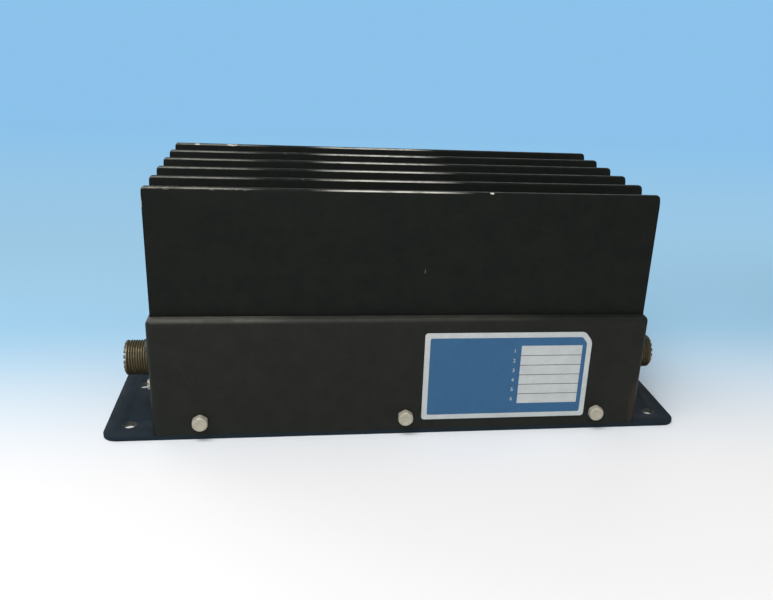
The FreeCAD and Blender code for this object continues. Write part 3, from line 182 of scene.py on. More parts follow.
class Blank:
    """A mesh on the bench, shaped in edit mode and with tools."""

    def __init__(self, obj: bpy.types.Object) -> None:
        """Take up a mesh object."""
        self.obj = obj

    @classmethod
    def taken(cls, name: str) -> "Blank":
        """Take up the primitive that was just added, with its place put into its mesh."""
        blank = cls(bpy.context.object)
        blank.obj.name = name
        blank.settle()
        return blank

    @classmethod
    def block(cls, name: str, corner: Sequence[float], other: Sequence[float]) -> "Blank":
        """Add a block.

        Args:
            name: The piece's name.
            corner: One of its corners.
            other: The corner across its middle.

        Returns:
            The new blank.
        """
        low, high = Vector(map(min, corner, other)), Vector(map(max, corner, other))
        deselect()
        bpy.ops.mesh.primitive_cube_add(size=1.0, location=(low + high) / 2, scale=high - low)
        return cls.taken(name)

    @classmethod
    def bar(cls, name: str, start: Vector, axis: Vector, length: float, radius: float,
            sides: int = 32) -> "Blank":
        """Add a straight round or many-sided bar.

        Args:
            name: The piece's name.
            start: The middle of its first end.
            axis: The way it runs.
            length: Its length.
            radius: Its radius to a corner.
            sides: How many sides it has.

        Returns:
            The new blank.
        """
        deselect()
        bpy.ops.mesh.primitive_cylinder_add(vertices=sides, radius=radius, depth=length,
                                            location=start + axis * (length / 2), rotation=facing(axis))
        return cls.taken(name)

    @classmethod
    def hoop(cls, name: str, place: Vector, axis: Vector, radius: float, sides: int) -> "Blank":
        """Add a ring of edges, which is pulled into a skin.

        Args:
            name: The piece's name.
            place: The ring's middle.
            axis: The way it faces.
            radius: Its radius.
            sides: How many edges it has.

        Returns:
            The new blank.
        """
        deselect()
        bpy.ops.mesh.primitive_circle_add(vertices=sides, radius=radius, location=place, rotation=facing(axis))
        return cls.taken(name)

    @classmethod
    def turned(cls, name: str, start: Vector, axis: Vector, profile: Sequence[tuple[float, float]],
               sides: int = 32) -> "Blank":
        """Turn a round piece from its profile.

        Args:
            name: The piece's name.
            start: The point that the profile is measured from.
            axis: The way it runs.
            profile: Steps of distance along the axis and radius; a closed profile makes a tube.
            sides: How many sides it has.

        Returns:
            The new blank.
        """
        along, radius = profile[0]
        blank = cls.hoop(name, start + axis * along, axis, radius, sides)
        with blank.edit(Pick.EDGES):
            for step_along, step_radius in profile[1:]:
                shift = axis * (step_along - along)
                bpy.ops.mesh.extrude_region_move(TRANSFORM_OT_translate={"value": shift})
                ratio = step_radius / radius
                bpy.ops.transform.resize(
                    value=(ratio, ratio, ratio), center_override=start + axis * step_along)
                along, radius = step_along, step_radius
        blank.close()
        return blank

    @classmethod
    def assembled(cls, name: str, parts: Sequence["Blank"]) -> "Blank":
        """Join parts to one blank with a name of its own."""
        whole = parts[0].joined(*parts[1:])
        whole.obj.name = name
        return whole

    def settle(self) -> None:
        """Put the object's place and turn into its mesh."""
        only(self.obj)
        bpy.ops.object.transform_apply(location=True, rotation=True, scale=True)

    @contextmanager
    def edit(self, kind: Pick = Pick.FACES, test: Callable = lambda part: True) -> Iterator[None]:
        """Work in edit mode on the picked parts, and leave it afterwards.

        Args:
            kind: Whether corners, edges or faces are picked.
            test: True for the parts that are picked.
        """
        only(self.obj)
        bpy.ops.object.mode_set(mode="EDIT")
        bpy.ops.mesh.select_mode(type=kind.value)
        bpy.ops.mesh.select_all(action="DESELECT")
        mesh = bmesh.from_edit_mesh(self.obj.data)
        mesh.normal_update()
        parts = {Pick.CORNERS: mesh.verts, Pick.EDGES: mesh.edges, Pick.FACES: mesh.faces}[kind]
        for part in [part for part in parts if test(part)]:
            part.select_set(True)
        bmesh.update_edit_mesh(self.obj.data)
        yield
        bpy.ops.object.mode_set(mode="OBJECT")

    def close(self) -> None:
        """Merge doubles, fill open ends and turn every face outwards."""
        with self.edit(Pick.CORNERS):
            bpy.ops.mesh.remove_doubles(threshold=MERGE)
            bpy.ops.mesh.select_all(action="DESELECT")
            bpy.ops.mesh.select_non_manifold(extend=False)
            bpy.ops.mesh.fill_holes(sides=0)
            bpy.ops.mesh.select_all(action="SELECT")
            bpy.ops.mesh.normals_make_consistent(inside=False)

    def bevel(self, width: float, segments: int, test: Callable) -> None:
        """Round the edges for which a test is true."""
        with self.edit(Pick.EDGES, test):
            bpy.ops.mesh.bevel(offset=width, segments=segments, profile=0.5, affect="EDGES")

    def bisect(self, point: Sequence[float], normal: Vector, keep_below: bool = False) -> None:
        """Cut through every face at a plane, and drop what lies above it if asked."""
        with self.edit():
            bpy.ops.mesh.bisect(
                plane_co=point, plane_no=normal, clear_outer=keep_below, use_fill=keep_below)

    def extrude(self, shift: Vector, test: Callable) -> None:
        """Pull out the faces for which a test is true."""
        with self.edit(Pick.FACES, test):
            bpy.ops.mesh.extrude_region_move(TRANSFORM_OT_translate={"value": shift})

    def finish_with(self, kind: str, **settings: object) -> None:
        """Apply one modifier.

        Args:
            kind: Its type.
            settings: Its settings by name.
        """
        only(self.obj)
        modifier = self.obj.modifiers.new(kind.lower(), kind)
        for name, value in settings.items():
            setattr(modifier, name, value)
        bpy.ops.object.modifier_apply(modifier=modifier.name)

    def ease(self, width: float, segments: int = 2) -> None:
        """Round every edge that is sharper than 35 degrees."""
        self.finish_with("BEVEL", width=width, segments=segments, limit_method="ANGLE",
                         angle_limit=math.radians(35.0), use_clamp_overlap=True, miter_outer="MITER_ARC")

    def work(self, how: Cut, *tools: "Blank") -> None:
        """Put tools into the blank, which uses them up.

        Args:
            how: Whether they are cut away, or what is common is kept.
            tools: The tools, which may overlap each other.
        """
        tool = tools[0].joined(*tools[1:])
        self.finish_with("BOOLEAN", operation=how.value, object=tool.obj, solver="EXACT",
                         use_self=len(tools) > 1)
        bpy.data.objects.remove(tool.obj)

    def joined(self, *others: "Blank") -> "Blank":
        """Join other blanks to this one, which keeps its name."""
        if others:
            only(self.obj)
            for other in others:
                other.obj.select_set(True)
            bpy.ops.object.join()
        return self

    def copy(self, shift: Vector) -> "Blank":
        """A copy with its own mesh, moved by a shift."""
        only(self.obj)
        bpy.ops.object.duplicate(linked=False)
        bpy.context.object.location = shift
        return Blank.taken("copy")

    def repeat(self, places: Sequence[Box]) -> None:
        """Join a copy for every place but the first, which the blank fills."""
        self.joined(*[self.copy(place[0] - places[0][0]) for place in places[1:]])

    def turn(self, angle: float, axis: Vector, about: Vector) -> None:
        """Turn the whole blank.

        Args:
            angle: The angle in radians.
            axis: The axis that it turns round.
            about: The point that stays.
        """
        turned = Matrix.Translation(about) @ Matrix.Rotation(angle, 4, axis) @ Matrix.Translation(-about)
        self.obj.matrix_world = turned @ self.obj.matrix_world
        self.settle()

    def smooth(self, angle: float = 30.0) -> None:
        """Shade smoothly across edges flatter than an angle in degrees."""
        only(self.obj)
        bpy.ops.object.shade_smooth_by_angle(angle=math.radians(angle))

    def dress(self, finish: "Finish", test: Callable | None = None) -> None:
        """Give the blank a finish.

        Args:
            finish: The finish.
            test: True for the faces that get it, which are all of them without a test.
        """
        slots = self.obj.data.materials
        material = finish.material()
        if test is None:
            slots.clear()
        if material.name not in slots:
            slots.append(material)
        index = slots.find(material.name)
        for face in self.obj.data.polygons:
            if test is None or test(face):
                face.material_index = index

    def hand_over(self, node: str, body: str = "case") -> None:
        """Let the piece stand for a CAD node.

        Args:
            node: The node, which it hides.
            body: The body that it rides on.
        """
        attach(self.obj, body)
        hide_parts(node)
        log.info("%s: %d faces for %s", self.obj.name, len(self.obj.data.polygons), node)

    def finished(self, finish: "Finish", node: str, body: str = "case") -> None:
        """Smooth the piece, dress it all over and hand it over."""
        self.smooth()
        self.dress(finish)
        self.hand_over(node, body)


class Sketch:
    """Adds and links the nodes of one material or node group."""

    def __init__(self, tree: bpy.types.NodeTree) -> None:
        """Start on an empty tree."""
        tree.nodes.clear()
        self.tree = tree

    def add(self, kind: str, settings: dict[str, object] | None = None, **inputs: object) -> bpy.types.Node:
        """Add a node.

        Args:
            kind: Its type, without the leading ShaderNode.
            settings: Its own settings by name.
            inputs: A value or an output socket for each input, with _ for a space.

        Returns:
            The new node.
        """
        node = self.tree.nodes.new("ShaderNode" + kind)
        for name, value in (settings or {}).items():
            setattr(node, name, value)
        for name, value in inputs.items():
            self.feed(node.inputs[name.replace("_", " ")], value)
        return node

    def feed(self, socket: Socket, value: object) -> None:
        """Link an output to an input socket, or set the socket's value."""
        if isinstance(value, Socket):
            self.tree.links.new(value, socket)
        else:
            socket.default_value = value

    def maths(self, operation: str, *values: object, clamp: bool = False) -> Socket:
        """One step of arithmetic."""
        node = self.add("Math", {"operation": operation, "use_clamp": clamp})
        for socket, value in zip(node.inputs, values):
            self.feed(socket, value)
        return node.outputs[0]

    def mix(self, factor: object, first: object, second: object) -> Socket:
        """A colour between two colours."""
        node = self.add("Mix", {"data_type": "RGBA"}, Factor=factor)
        self.feed(node.inputs[6], rgba(first) if isinstance(first, tuple) else first)
        self.feed(node.inputs[7], rgba(second) if isinstance(second, tuple) else second)
        return node.outputs[2]

    def span(self, value: Socket, low: float, high: float, to_low: float = 0.0, to_high: float = 1.0) -> Socket:
        """A value from low to high, smoothly mapped to another range."""
        node = self.add("MapRange", {"interpolation_type": "SMOOTHSTEP"}, Value=value, From_Min=low,
                        From_Max=high, To_Min=to_low, To_Max=to_high)
        return node.outputs[0]

    def place(self, scale: Sequence[float] = (1.0, 1.0, 1.0),
              origin: Sequence[float] = (0.0, 0.0, 0.0)) -> Socket:
        """Object coordinates, measured from an origin and stretched."""
        coordinates = self.add("TexCoord").outputs["Object"]
        moved = self.add("VectorMath", {"operation": "SUBTRACT"})
        self.feed(moved.inputs[0], coordinates)
        self.feed(moved.inputs[1], origin)
        return self.add("Mapping", Vector=moved.outputs[0], Scale=scale).outputs[0]

    def times(self, first: object, *others: object) -> Socket:
        """The product of values, multiplied from the left."""
        return reduce(lambda product, value: self.maths("MULTIPLY", product, value), others, first)

    def parts(self, vector: Socket) -> tuple[Socket, Socket, Socket]:
        """The three parts of a vector."""
        node = self.add("SeparateXYZ", Vector=vector)
        return node.outputs[0], node.outputs[1], node.outputs[2]

    def normal(self) -> tuple[Socket, Socket, Socket]:
        """The three parts of the surface's normal."""
        return self.parts(self.add("NewGeometry").outputs["Normal"])

    def noise(self, place: Socket, size: float, detail: float = 3.0, roughness: float = 0.5) -> Socket:
        """Cloudy noise whose patches are about a size across."""
        return self.add("TexNoise", Vector=place, Scale=1.0 / size, Detail=detail, Roughness=roughness).outputs[0]

    def effect(self, effect: "Effect", **values: object) -> Socket:
        """Place a shared effect with its own values."""
        return self.add("Group", {"node_tree": effect.tree()}, **values).outputs[0]


class Effect(ABC):
    """A shader effect that several finishes share, kept as one node group."""

    title: str
    given: dict[str, float]
    result: str

    @abstractmethod
    def draw(self, sketch: Sketch, given: bpy.types.Node) -> Socket:
        """Draw the group.

        Args:
            sketch: The group's nodes.
            given: The node that holds the group's inputs.

        Returns:
            The socket of its result.
        """

    def tree(self) -> bpy.types.NodeTree:
        """The node group, which is built when it is first asked for."""
        found = bpy.data.node_groups.get(self.title)
        if found:
            return found
        tree = bpy.data.node_groups.new(self.title, "ShaderNodeTree")
        for name, value in self.given.items():
            tree.interface.new_socket(name, in_out="INPUT", socket_type="NodeSocketFloat").default_value = value
        tree.interface.new_socket(self.result, in_out="OUTPUT", socket_type="NodeSocketFloat")
        drawn = self.draw(Sketch(tree), tree.nodes.new("NodeGroupInput"))
        tree.links.new(drawn, tree.nodes.new("NodeGroupOutput").inputs[self.result])
        return tree


class Mottle(Effect):
    """Uneven patches of two sizes, as in paint, plating and casting."""

    title = "mottle"
    given = {"Size": 4.0 * MM, "Contrast": 1.0}
    result = "Value"

    def draw(self, sketch: Sketch, given: bpy.types.Node) -> Socket:
        """Two noises, one five times as fine, stretched about the middle by the contrast."""
        place = sketch.place()
        scale = sketch.maths("DIVIDE", 1.0, given.outputs["Size"])
        coarse = sketch.add("TexNoise", Vector=place, Scale=scale, Detail=4.0, Roughness=0.6)
        fine = sketch.add("TexNoise", Vector=place, Scale=sketch.times(scale, 5.3), Detail=3.0)
        both = sketch.maths("ADD", sketch.times(coarse.outputs[0], 0.65), sketch.times(fine.outputs[0], 0.35))
        about = sketch.maths("SUBTRACT", both, 0.5)
        stretch = sketch.times(given.outputs["Contrast"], 3.0)
        return sketch.maths("MULTIPLY_ADD", about, stretch, 0.5, clamp=True)


class Grain(Effect):
    """Fine surface grain, as of sprayed paint or a blasted casting."""

    title = "grain"
    given = {"Size": 0.4 * MM}
    result = "Height"

    def draw(self, sketch: Sketch, given: bpy.types.Node) -> Socket:
        """Rounded cells under a little noise."""
        place = sketch.place()
        scale = sketch.maths("DIVIDE", 1.0, given.outputs["Size"])
        cells = sketch.add("TexVoronoi", {"feature": "SMOOTH_F1"}, Vector=place, Scale=scale)
        noise = sketch.add("TexNoise", Vector=place, Scale=sketch.times(scale, 0.6), Detail=4.0)
        return sketch.maths("ADD", sketch.times(cells.outputs["Distance"], -0.5), noise.outputs[0])


class EdgeWear(Effect):
    """Rubbed edges of a squared piece: its rounded edges, broken up by noise."""

    title = "edge wear"
    given = {"Amount": 0.5, "Size": 3.0 * MM}
    result = "Mask"

    def draw(self, sketch: Sketch, given: bpy.types.Node) -> Socket:
        """A face that looks along no axis belongs to a rounded edge."""
        sizes = [sketch.maths("ABSOLUTE", part) for part in sketch.normal()]
        widest = sketch.maths("MAXIMUM", sketch.maths("MAXIMUM", sizes[0], sizes[1]), sizes[2])
        rounded = sketch.span(widest, 0.995, 0.86)
        scale = sketch.maths("DIVIDE", 1.0, given.outputs["Size"])
        noise = sketch.add("TexNoise", Vector=sketch.place(), Scale=scale, Detail=5.0, Roughness=0.65)
        level = sketch.maths("SUBTRACT", 0.95, sketch.times(given.outputs["Amount"], 0.6))
        broken = sketch.maths("MULTIPLY", sketch.maths("SUBTRACT", noise.outputs[0], level), 14.0, clamp=True)
        return sketch.times(rounded, broken)


class Dust(Effect):
    """Fine dust that lies on what faces up."""

    title = "dust"
    given = {"Amount": 0.3, "Size": 6.0 * MM}
    result = "Mask"

    def draw(self, sketch: Sketch, given: bpy.types.Node) -> Socket:
        """Upward faces, broken up by noise."""
        _, _, up = sketch.normal()
        level = sketch.span(up, 0.2, 0.95)
        scale = sketch.maths("DIVIDE", 1.0, given.outputs["Size"])
        noise = sketch.add("TexNoise", Vector=sketch.place(), Scale=scale, Detail=6.0, Roughness=0.7)
        patches = sketch.span(noise.outputs[0], 0.35, 0.7)
        return sketch.times(level, patches, given.outputs["Amount"])


@dataclass(frozen=True)
class Finish:
    """A surface finish: its colours, gloss, grain and wear."""

    name: str
    colour: Rgb
    patch: Rgb
    patch_size: float = 5.0 * MM
    contrast: float = 1.0
    metallic: float = 0.0
    gloss_from: float = 0.35
    gloss_to: float = 0.5
    specular: float = 0.5
    grain_size: float = 0.4 * MM
    grain_depth: float = 0.01 * MM
    worn: Rgb = (0.3, 0.28, 0.24)
    wear: float = 0.0
    dust: float = 0.0
    coat: float = 0.0

    @cache
    def material(self) -> bpy.types.Material:
        """The finish as a material, which is built when it is first asked for."""
        material = bpy.data.materials.new(self.name)
        material.use_nodes = True
        sketch = Sketch(material.node_tree)
        surface = sketch.add("BsdfPrincipled", Metallic=self.metallic, Specular_IOR_Level=self.specular,
                             Coat_Weight=self.coat)
        sketch.feed(surface.inputs["Base Color"], self.paint(sketch))
        patches = sketch.effect(Mottle(), Size=self.patch_size * 0.6)
        sketch.feed(surface.inputs["Roughness"], sketch.span(patches, 0.0, 1.0, self.gloss_from, self.gloss_to))
        grain = sketch.effect(Grain(), Size=self.grain_size)
        bump = sketch.add("Bump", Strength=1.0, Distance=self.grain_depth, Height=grain)
        sketch.feed(surface.inputs["Normal"], bump.outputs[0])
        self.alter(sketch, surface)
        out = sketch.add("OutputMaterial")
        sketch.feed(out.inputs["Surface"], surface.outputs[0])
        return material

    def paint(self, sketch: Sketch) -> Socket:
        """The colour over the surface: two tones, then wear, then dust."""
        patches = sketch.effect(Mottle(), Size=self.patch_size, Contrast=self.contrast)
        colour = sketch.mix(patches, self.colour, self.patch)
        if self.wear:
            colour = sketch.mix(sketch.effect(EdgeWear(), Amount=self.wear), colour, self.worn)
        if self.dust:
            colour = sketch.mix(sketch.effect(Dust(), Amount=self.dust), colour, DUST)
        return colour

    def alter(self, sketch: Sketch, surface: bpy.types.Node) -> None:
        """Room for a finish of one kind to change its shader."""


@dataclass(frozen=True)
class RubbedPaint(Finish):
    """Paint with painted highlights in stretches along its upper front edges, and nicks of worn paint in places.
    """

    rubbed: Rgb = (0.66, 0.65, 0.57)
    above: float = 109.0 * MM
    fade: float = 22.0 * MM
    stretches: tuple[tuple[float, float, float], ...] = ()
    nicked: Rgb = (0.55, 0.53, 0.45)
    nicks: tuple[tuple[tuple[float, float, float], tuple[float, float, float], float], ...] = ()

    def paint(self, sketch: Sketch) -> Socket:
        """The plain paint under its painted highlight stretches and its nicks."""
        colour = super().paint(sketch)
        x, _, z = sketch.parts(sketch.place())
        amount = 0.0
        # Painted highlight: lamp reflections on the rounded upper edges, painted as colour in stretches along X
        # and broken into streaks.
        for start, end, share in self.stretches:
            after = sketch.span(x, start, start + self.fade)
            before = sketch.span(x, end, end - self.fade)
            amount = sketch.maths("MAXIMUM", amount, sketch.times(after, before, share))
        streaks = sketch.noise(sketch.place(scale=(0.2, 1.0, 1.0)), 1.5 * MM, detail=5.0, roughness=0.7)
        patchy = sketch.span(streaks, 0.3, 0.6, 0.45, 1.0)
        high = sketch.span(z, self.above - 0.5 * MM, self.above)
        mask = sketch.times(amount, patchy, sketch.times(self.band(sketch), high))
        colour = sketch.mix(mask, colour, self.rubbed)
        ragged = sketch.times(sketch.noise(sketch.place(), 0.9 * MM, detail=4.0), 0.9)
        for middle_point, reach, share in self.nicks:
            near_by = sketch.add("VectorMath", {"operation": "LENGTH"})
            sketch.feed(near_by.inputs[0], sketch.place([1.0 / part for part in reach], middle_point))
            worn = sketch.span(sketch.maths("ADD", near_by.outputs["Value"], ragged), 1.35, 1.05, 0.0, share)
            colour = sketch.mix(worn, colour, self.nicked)
        return colour

    def band(self, sketch: Sketch) -> Socket:
        """True on the rounded edge between a front and a top."""
        _, forward, up = sketch.normal()
        return sketch.span(sketch.times(forward, up, -2.0), 0.45, 0.9)


@dataclass(frozen=True)
class SinkPaint(RubbedPaint):
    """Black paint on the heat sink, with painted highlights along the fin tops, chipped along the front fin's top
    edge.
    """

    top: float = 110.1 * MM
    chipped: Rgb = (0.25, 0.24, 0.21)
    ramp_length: float = 0.22
    knocks: tuple[tuple[float, float], ...] = (
        (-0.108, 0.85), (-0.070, 0.6), (-0.058, 0.2), (0.03, 0.1), (0.1, 0.0))

    def paint(self, sketch: Sketch) -> Socket:
        """The paint with its painted highlights, under fine chips that lie where the front fin was knocked."""
        colour = super().paint(sketch)
        x, y, z = sketch.parts(sketch.place())
        ramp = sketch.add("ValToRGB", Fac=sketch.maths("MULTIPLY_ADD", x, 1.0 / self.ramp_length, 0.5))
        ramp.color_ramp.elements.remove(ramp.color_ramp.elements[1])
        for at, amount in self.knocks:
            ramp.color_ramp.elements.new(at / self.ramp_length + 0.5).color = rgba((amount, amount, amount))
        front = sketch.span(y, -48.0 * MM, -49.0 * MM)
        edge = sketch.span(z, self.top - 1.3 * MM, self.top - 0.3 * MM)
        noise = sketch.noise(sketch.place(scale=(0.6, 1.0, 1.0)), 1.1 * MM, detail=6.0, roughness=0.75)
        level = sketch.maths("MULTIPLY_ADD", sketch.times(ramp.outputs[0], front), -0.2, 0.68)
        chips = sketch.maths("MULTIPLY", sketch.maths("SUBTRACT", noise, level), 9.0, clamp=True)
        return sketch.mix(sketch.times(chips, edge), colour, self.chipped)


@dataclass(frozen=True)
class CasePaint(RubbedPaint):
    """Black paint on the case, with a painted highlight where the rim faces up, stronger towards the left end."""

    def band(self, sketch: Sketch) -> Socket:
        """True on what faces up."""
        _, _, up = sketch.normal()
        return sketch.span(up, 0.3, 0.85)


@dataclass(frozen=True)
class BoardLaminate(Finish):
    """Laminate board with tinned copper lands between narrow gaps."""

    land: Rgb = (0.50, 0.45, 0.36)
    land_length: float = 17.0 * MM
    land_width: float = 9.0 * MM
    gap: float = 1.1 * MM

    def lands(self, sketch: Sketch) -> Socket:
        """True on a land, on faces that look up or down."""
        brick = sketch.add("TexBrick", {"offset": 0.5, "squash": 1.0}, Vector=sketch.place(), Scale=1.0,
                           Mortar_Size=self.gap / 2, Brick_Width=self.land_length, Row_Height=self.land_width,
                           Mortar_Smooth=0.05)
        _, _, up = sketch.normal()
        flat = sketch.span(sketch.maths("ABSOLUTE", up), 0.85, 0.95)
        return sketch.times(sketch.maths("SUBTRACT", 1.0, brick.outputs["Fac"]), flat)

    def paint(self, sketch: Sketch) -> Socket:
        """The laminate's own colour with the lands on it."""
        return sketch.mix(self.lands(sketch), super().paint(sketch), self.land)

    def alter(self, sketch: Sketch, surface: bpy.types.Node) -> None:
        """The lands are metal."""
        sketch.feed(surface.inputs["Metallic"], sketch.times(self.lands(sketch), 0.8))


@dataclass(frozen=True)
class WireSleeve(Finish):
    """Plastic sleeve in one colour left of a place and in another right of it."""

    split: float = 54.0 * MM
    right: Rgb = (0.36, 0.02, 0.012)

    def paint(self, sketch: Sketch) -> Socket:
        """The sleeve's colour on each side of the split."""
        x, _, _ = sketch.parts(sketch.place())
        return sketch.mix(sketch.span(x, self.split - 1.0 * MM, self.split + 1.0 * MM), super().paint(sketch),
                          self.right)


@dataclass(frozen=True)
class Stage:
    """Pale floor, soft lamps and the camera of the photograph."""

    camera_place: tuple[float, float, float] = (-47.8 * MM, -381.9 * MM, 183.0 * MM)
    yaw: float = 9.98
    pitch: float = 20.75
    roll: float = -3.23
    focal_pixels: float = 820.3
    picture: tuple[int, int] = (773, 600)
    axis_pixel: tuple[float, float] = (431.7, 313.9)
    sensor: float = 36.0
    near_floor: Rgb = (0.90, 0.885, 0.88)
    back_floor: Rgb = (0.34, 0.58, 0.77)
    sky: Rgb = (0.262, 0.54, 0.83)

    def build(self) -> None:
        """Make the floor, the lamps, the world and the camera."""
        self.set_camera()
        self.lay_floor()
        self.hang_lamp("key", (-0.28, -0.30, 1.05), (0.6, 0.6), 7.4)
        self.hang_lamp("fill", (-0.35, -1.15, 0.75), (0.9, 0.7), 7.8)
        self.hang_lamp("back left", (-0.95, 1.05, 0.80), (0.9, 0.7), 4.0)
        self.hang_lamp("back right", (0.35, 1.20, 0.70), (0.9, 0.7), 2.2)
        self.light_world()
        bpy.context.scene.view_settings.view_transform = "Standard"

    def set_camera(self) -> None:
        """The photograph's viewpoint, turned by its three angles and shifted to its axis."""
        turned = (
            Matrix.Rotation(math.radians(-self.yaw), 4, "Z")
            @ Matrix.Rotation(math.radians(90.0 - self.pitch), 4, "X")
            @ Matrix.Rotation(math.radians(-self.roll), 4, "Z")
        )
        bpy.ops.object.camera_add(location=self.camera_place, rotation=turned.to_euler())
        camera = bpy.context.object
        width, height = self.picture
        camera.data.sensor_width = self.sensor
        camera.data.lens = self.focal_pixels / width * self.sensor
        camera.data.shift_x = (width / 2 - self.axis_pixel[0]) / width
        camera.data.shift_y = (self.axis_pixel[1] - height / 2) / width
        camera.data.clip_start = 0.01
        camera.data.clip_end = 100.0
        bpy.context.scene.camera = camera

    def lay_floor(self) -> None:
        """A wide floor, white in front and pale blue behind."""
        deselect()
        bpy.ops.mesh.primitive_plane_add(size=30.0, location=(0.0, 0.0, 0.0))
        floor = bpy.context.object
        floor.name = "floor"
        material = bpy.data.materials.new("floor")
        material.use_nodes = True
        sketch = Sketch(material.node_tree)
        _, y, _ = sketch.parts(sketch.place())
        surface = sketch.add("BsdfPrincipled", Roughness=0.9, Specular_IOR_Level=0.0)
        colour = sketch.mix(sketch.span(y, -0.11, 0.09), self.near_floor, self.back_floor)
        sketch.feed(surface.inputs["Base Color"], colour)
        behind = sketch.mix(sketch.span(y, 0.1, 0.9), self.back_floor, self.sky)
        backdrop = sketch.mix(sketch.span(y, -0.11, 0.09), self.near_floor, behind)
        glow = sketch.add("Emission", Color=backdrop, Strength=1.0)
        path = sketch.add("LightPath")
        seen = sketch.maths("ADD", path.outputs["Is Camera Ray"], path.outputs["Is Glossy Ray"], clamp=True)
        away = sketch.add("VectorMath", {"operation": "LENGTH"})
        sketch.feed(away.inputs[0], sketch.place())
        beyond = sketch.maths("MAXIMUM", sketch.span(y, 0.07, 0.3), sketch.span(away.outputs["Value"], 0.28, 0.7))
        both = sketch.add("MixShader", Fac=sketch.times(seen, beyond))
        sketch.feed(both.inputs[1], surface.outputs[0])
        sketch.feed(both.inputs[2], glow.outputs[0])
        sketch.feed(sketch.add("OutputMaterial").inputs["Surface"], both.outputs[0])
        floor.data.materials.append(material)

    def hang_lamp(self, name: str, place: Sequence[float], size: tuple[float, float], power: float) -> None:
        """One soft lamp that looks at the object."""
        way = Vector((0.0, 0.0, 0.05)) - Vector(place)
        bpy.ops.object.light_add(type="AREA", location=place, rotation=facing(way, "-Z"))
        lamp = bpy.context.object
        lamp.name = name
        lamp.data.shape = "RECTANGLE"
        lamp.data.size, lamp.data.size_y = size
        lamp.data.energy = power

    def light_world(self) -> None:
        """A soft even light, and a pale blue sky for the camera."""
        world = bpy.data.worlds.new("studio")
        bpy.context.scene.world = world
        world.use_nodes = True
        sketch = Sketch(world.node_tree)
        seen = sketch.add("Background", Color=rgba(self.sky), Strength=1.0)
        light = sketch.add("Background", Color=rgba((0.95, 0.97, 1.0)), Strength=0.3)
        camera = sketch.add("LightPath").outputs["Is Camera Ray"]
        both = sketch.add("MixShader", Fac=camera)
        sketch.feed(both.inputs[1], light.outputs[0])
        sketch.feed(both.inputs[2], seen.outputs[0])
        sketch.feed(sketch.add("OutputWorld").inputs["Surface"], both.outputs[0])


CASE_PAINT = CasePaint(
    "case_enamel", (0.0100, 0.0112, 0.0090), (0.0150, 0.0162, 0.0130), patch_size=9.0 * MM, gloss_from=0.42,
    gloss_to=0.55, grain_size=0.5 * MM, grain_depth=0.015 * MM, specular=0.12, worn=(0.16, 0.13, 0.09), wear=0.16,
    # The rim's stretches are a painted highlight of light from the upper left, fading towards the right. The nick
    # is real brown wear.
    rubbed=(0.20, 0.20, 0.165), above=53.5 * MM, fade=35.0 * MM, nicked=(0.026, 0.020, 0.014),
    stretches=((*mm(-150.0, -35.0), 0.36), (*mm(-90.0, 70.0), 0.12)),
    nicks=((mm(108.6, -55.8, 13.0), mm(4.5, 4.5, 16.0), 1.0),),
)
SINK_PAINT = SinkPaint(
    "sink_enamel", (0.0053, 0.0070, 0.0061), (0.0089, 0.0102, 0.0085), patch_size=7.0 * MM, gloss_from=0.42,
    gloss_to=0.6, grain_size=0.6 * MM, grain_depth=0.02 * MM, specular=0.085,
    # The two stretches are painted highlights: lamp reflections along the fin tops' front edges. The nicks are
    # real chips.
    stretches=((*mm(-120.0, -58.0), 0.33), (*mm(-44.0, 27.0), 0.9)),
    nicks=(
        (mm(33.0, -52.0, 109.9), mm(1.1, 0.7, 0.6), 1.0), (mm(-97.0, 49.6, 109.9), mm(1.8, 0.8, 0.6), 1.0),
        (mm(-80.0, 49.6, 109.9), mm(3.6, 0.8, 0.6), 1.0), (mm(-53.0, 29.3, 109.9), mm(0.75, 0.4, 0.4), 0.15),
        (mm(-45.0, -31.6, 109.9), mm(0.8, 0.4, 0.4), 0.12), (mm(-108.0, -51.9, 104.0), mm(0.5, 0.7, 4.0), 0.6),
        (mm(6.4, -52.3, 75.6), mm(0.32, 0.5, 1.3), 0.14),
    ),
)
# Dark paint, tinted blue as a painted reflection of the blue backdrop.
PLATE_PAINT = Finish("plate_enamel", (0.0085, 0.0165, 0.0235), (0.0115, 0.0205, 0.0290), patch_size=12.0 * MM,
                     gloss_from=0.5, gloss_to=0.62, grain_size=0.5 * MM, grain_depth=0.008 * MM, specular=0.09,
                     worn=(0.2, 0.19, 0.17), wear=0.12)
BARE_EDGE = Finish("bare_edge", (0.085, 0.082, 0.066), (0.050, 0.052, 0.045), patch_size=1.0 * MM, metallic=0.5)
ZINC = Finish("zinc_plate", (0.36, 0.335, 0.26), (0.50, 0.47, 0.385), patch_size=0.9 * MM, metallic=0.35,
              gloss_from=0.5, gloss_to=0.65, specular=0.35, grain_size=0.2 * MM, grain_depth=0.012 * MM)
TARNISH = Finish("tarnished_zinc", (0.055, 0.052, 0.04), (0.09, 0.085, 0.065), patch_size=0.8 * MM, metallic=0.4,
                 gloss_from=0.5, gloss_to=0.7)
NICKEL = Finish("worn_nickel", (0.190, 0.150, 0.082), (0.085, 0.088, 0.062), patch_size=2.2 * MM, metallic=0.7,
                gloss_from=0.32, gloss_to=0.5, specular=0.4, grain_size=0.2 * MM, grain_depth=0.006 * MM)
PHENOLIC = Finish("brown_phenolic", (0.060, 0.030, 0.014), (0.095, 0.050, 0.022), patch_size=1.0 * MM,
                  gloss_from=0.35, gloss_to=0.5, grain_size=0.2 * MM)
SILVER = Finish("silver_plate", (0.62, 0.60, 0.55), (0.42, 0.38, 0.30), patch_size=1.5 * MM, metallic=0.95,
                gloss_from=0.25, gloss_to=0.4, grain_size=0.2 * MM, grain_depth=0.004 * MM)
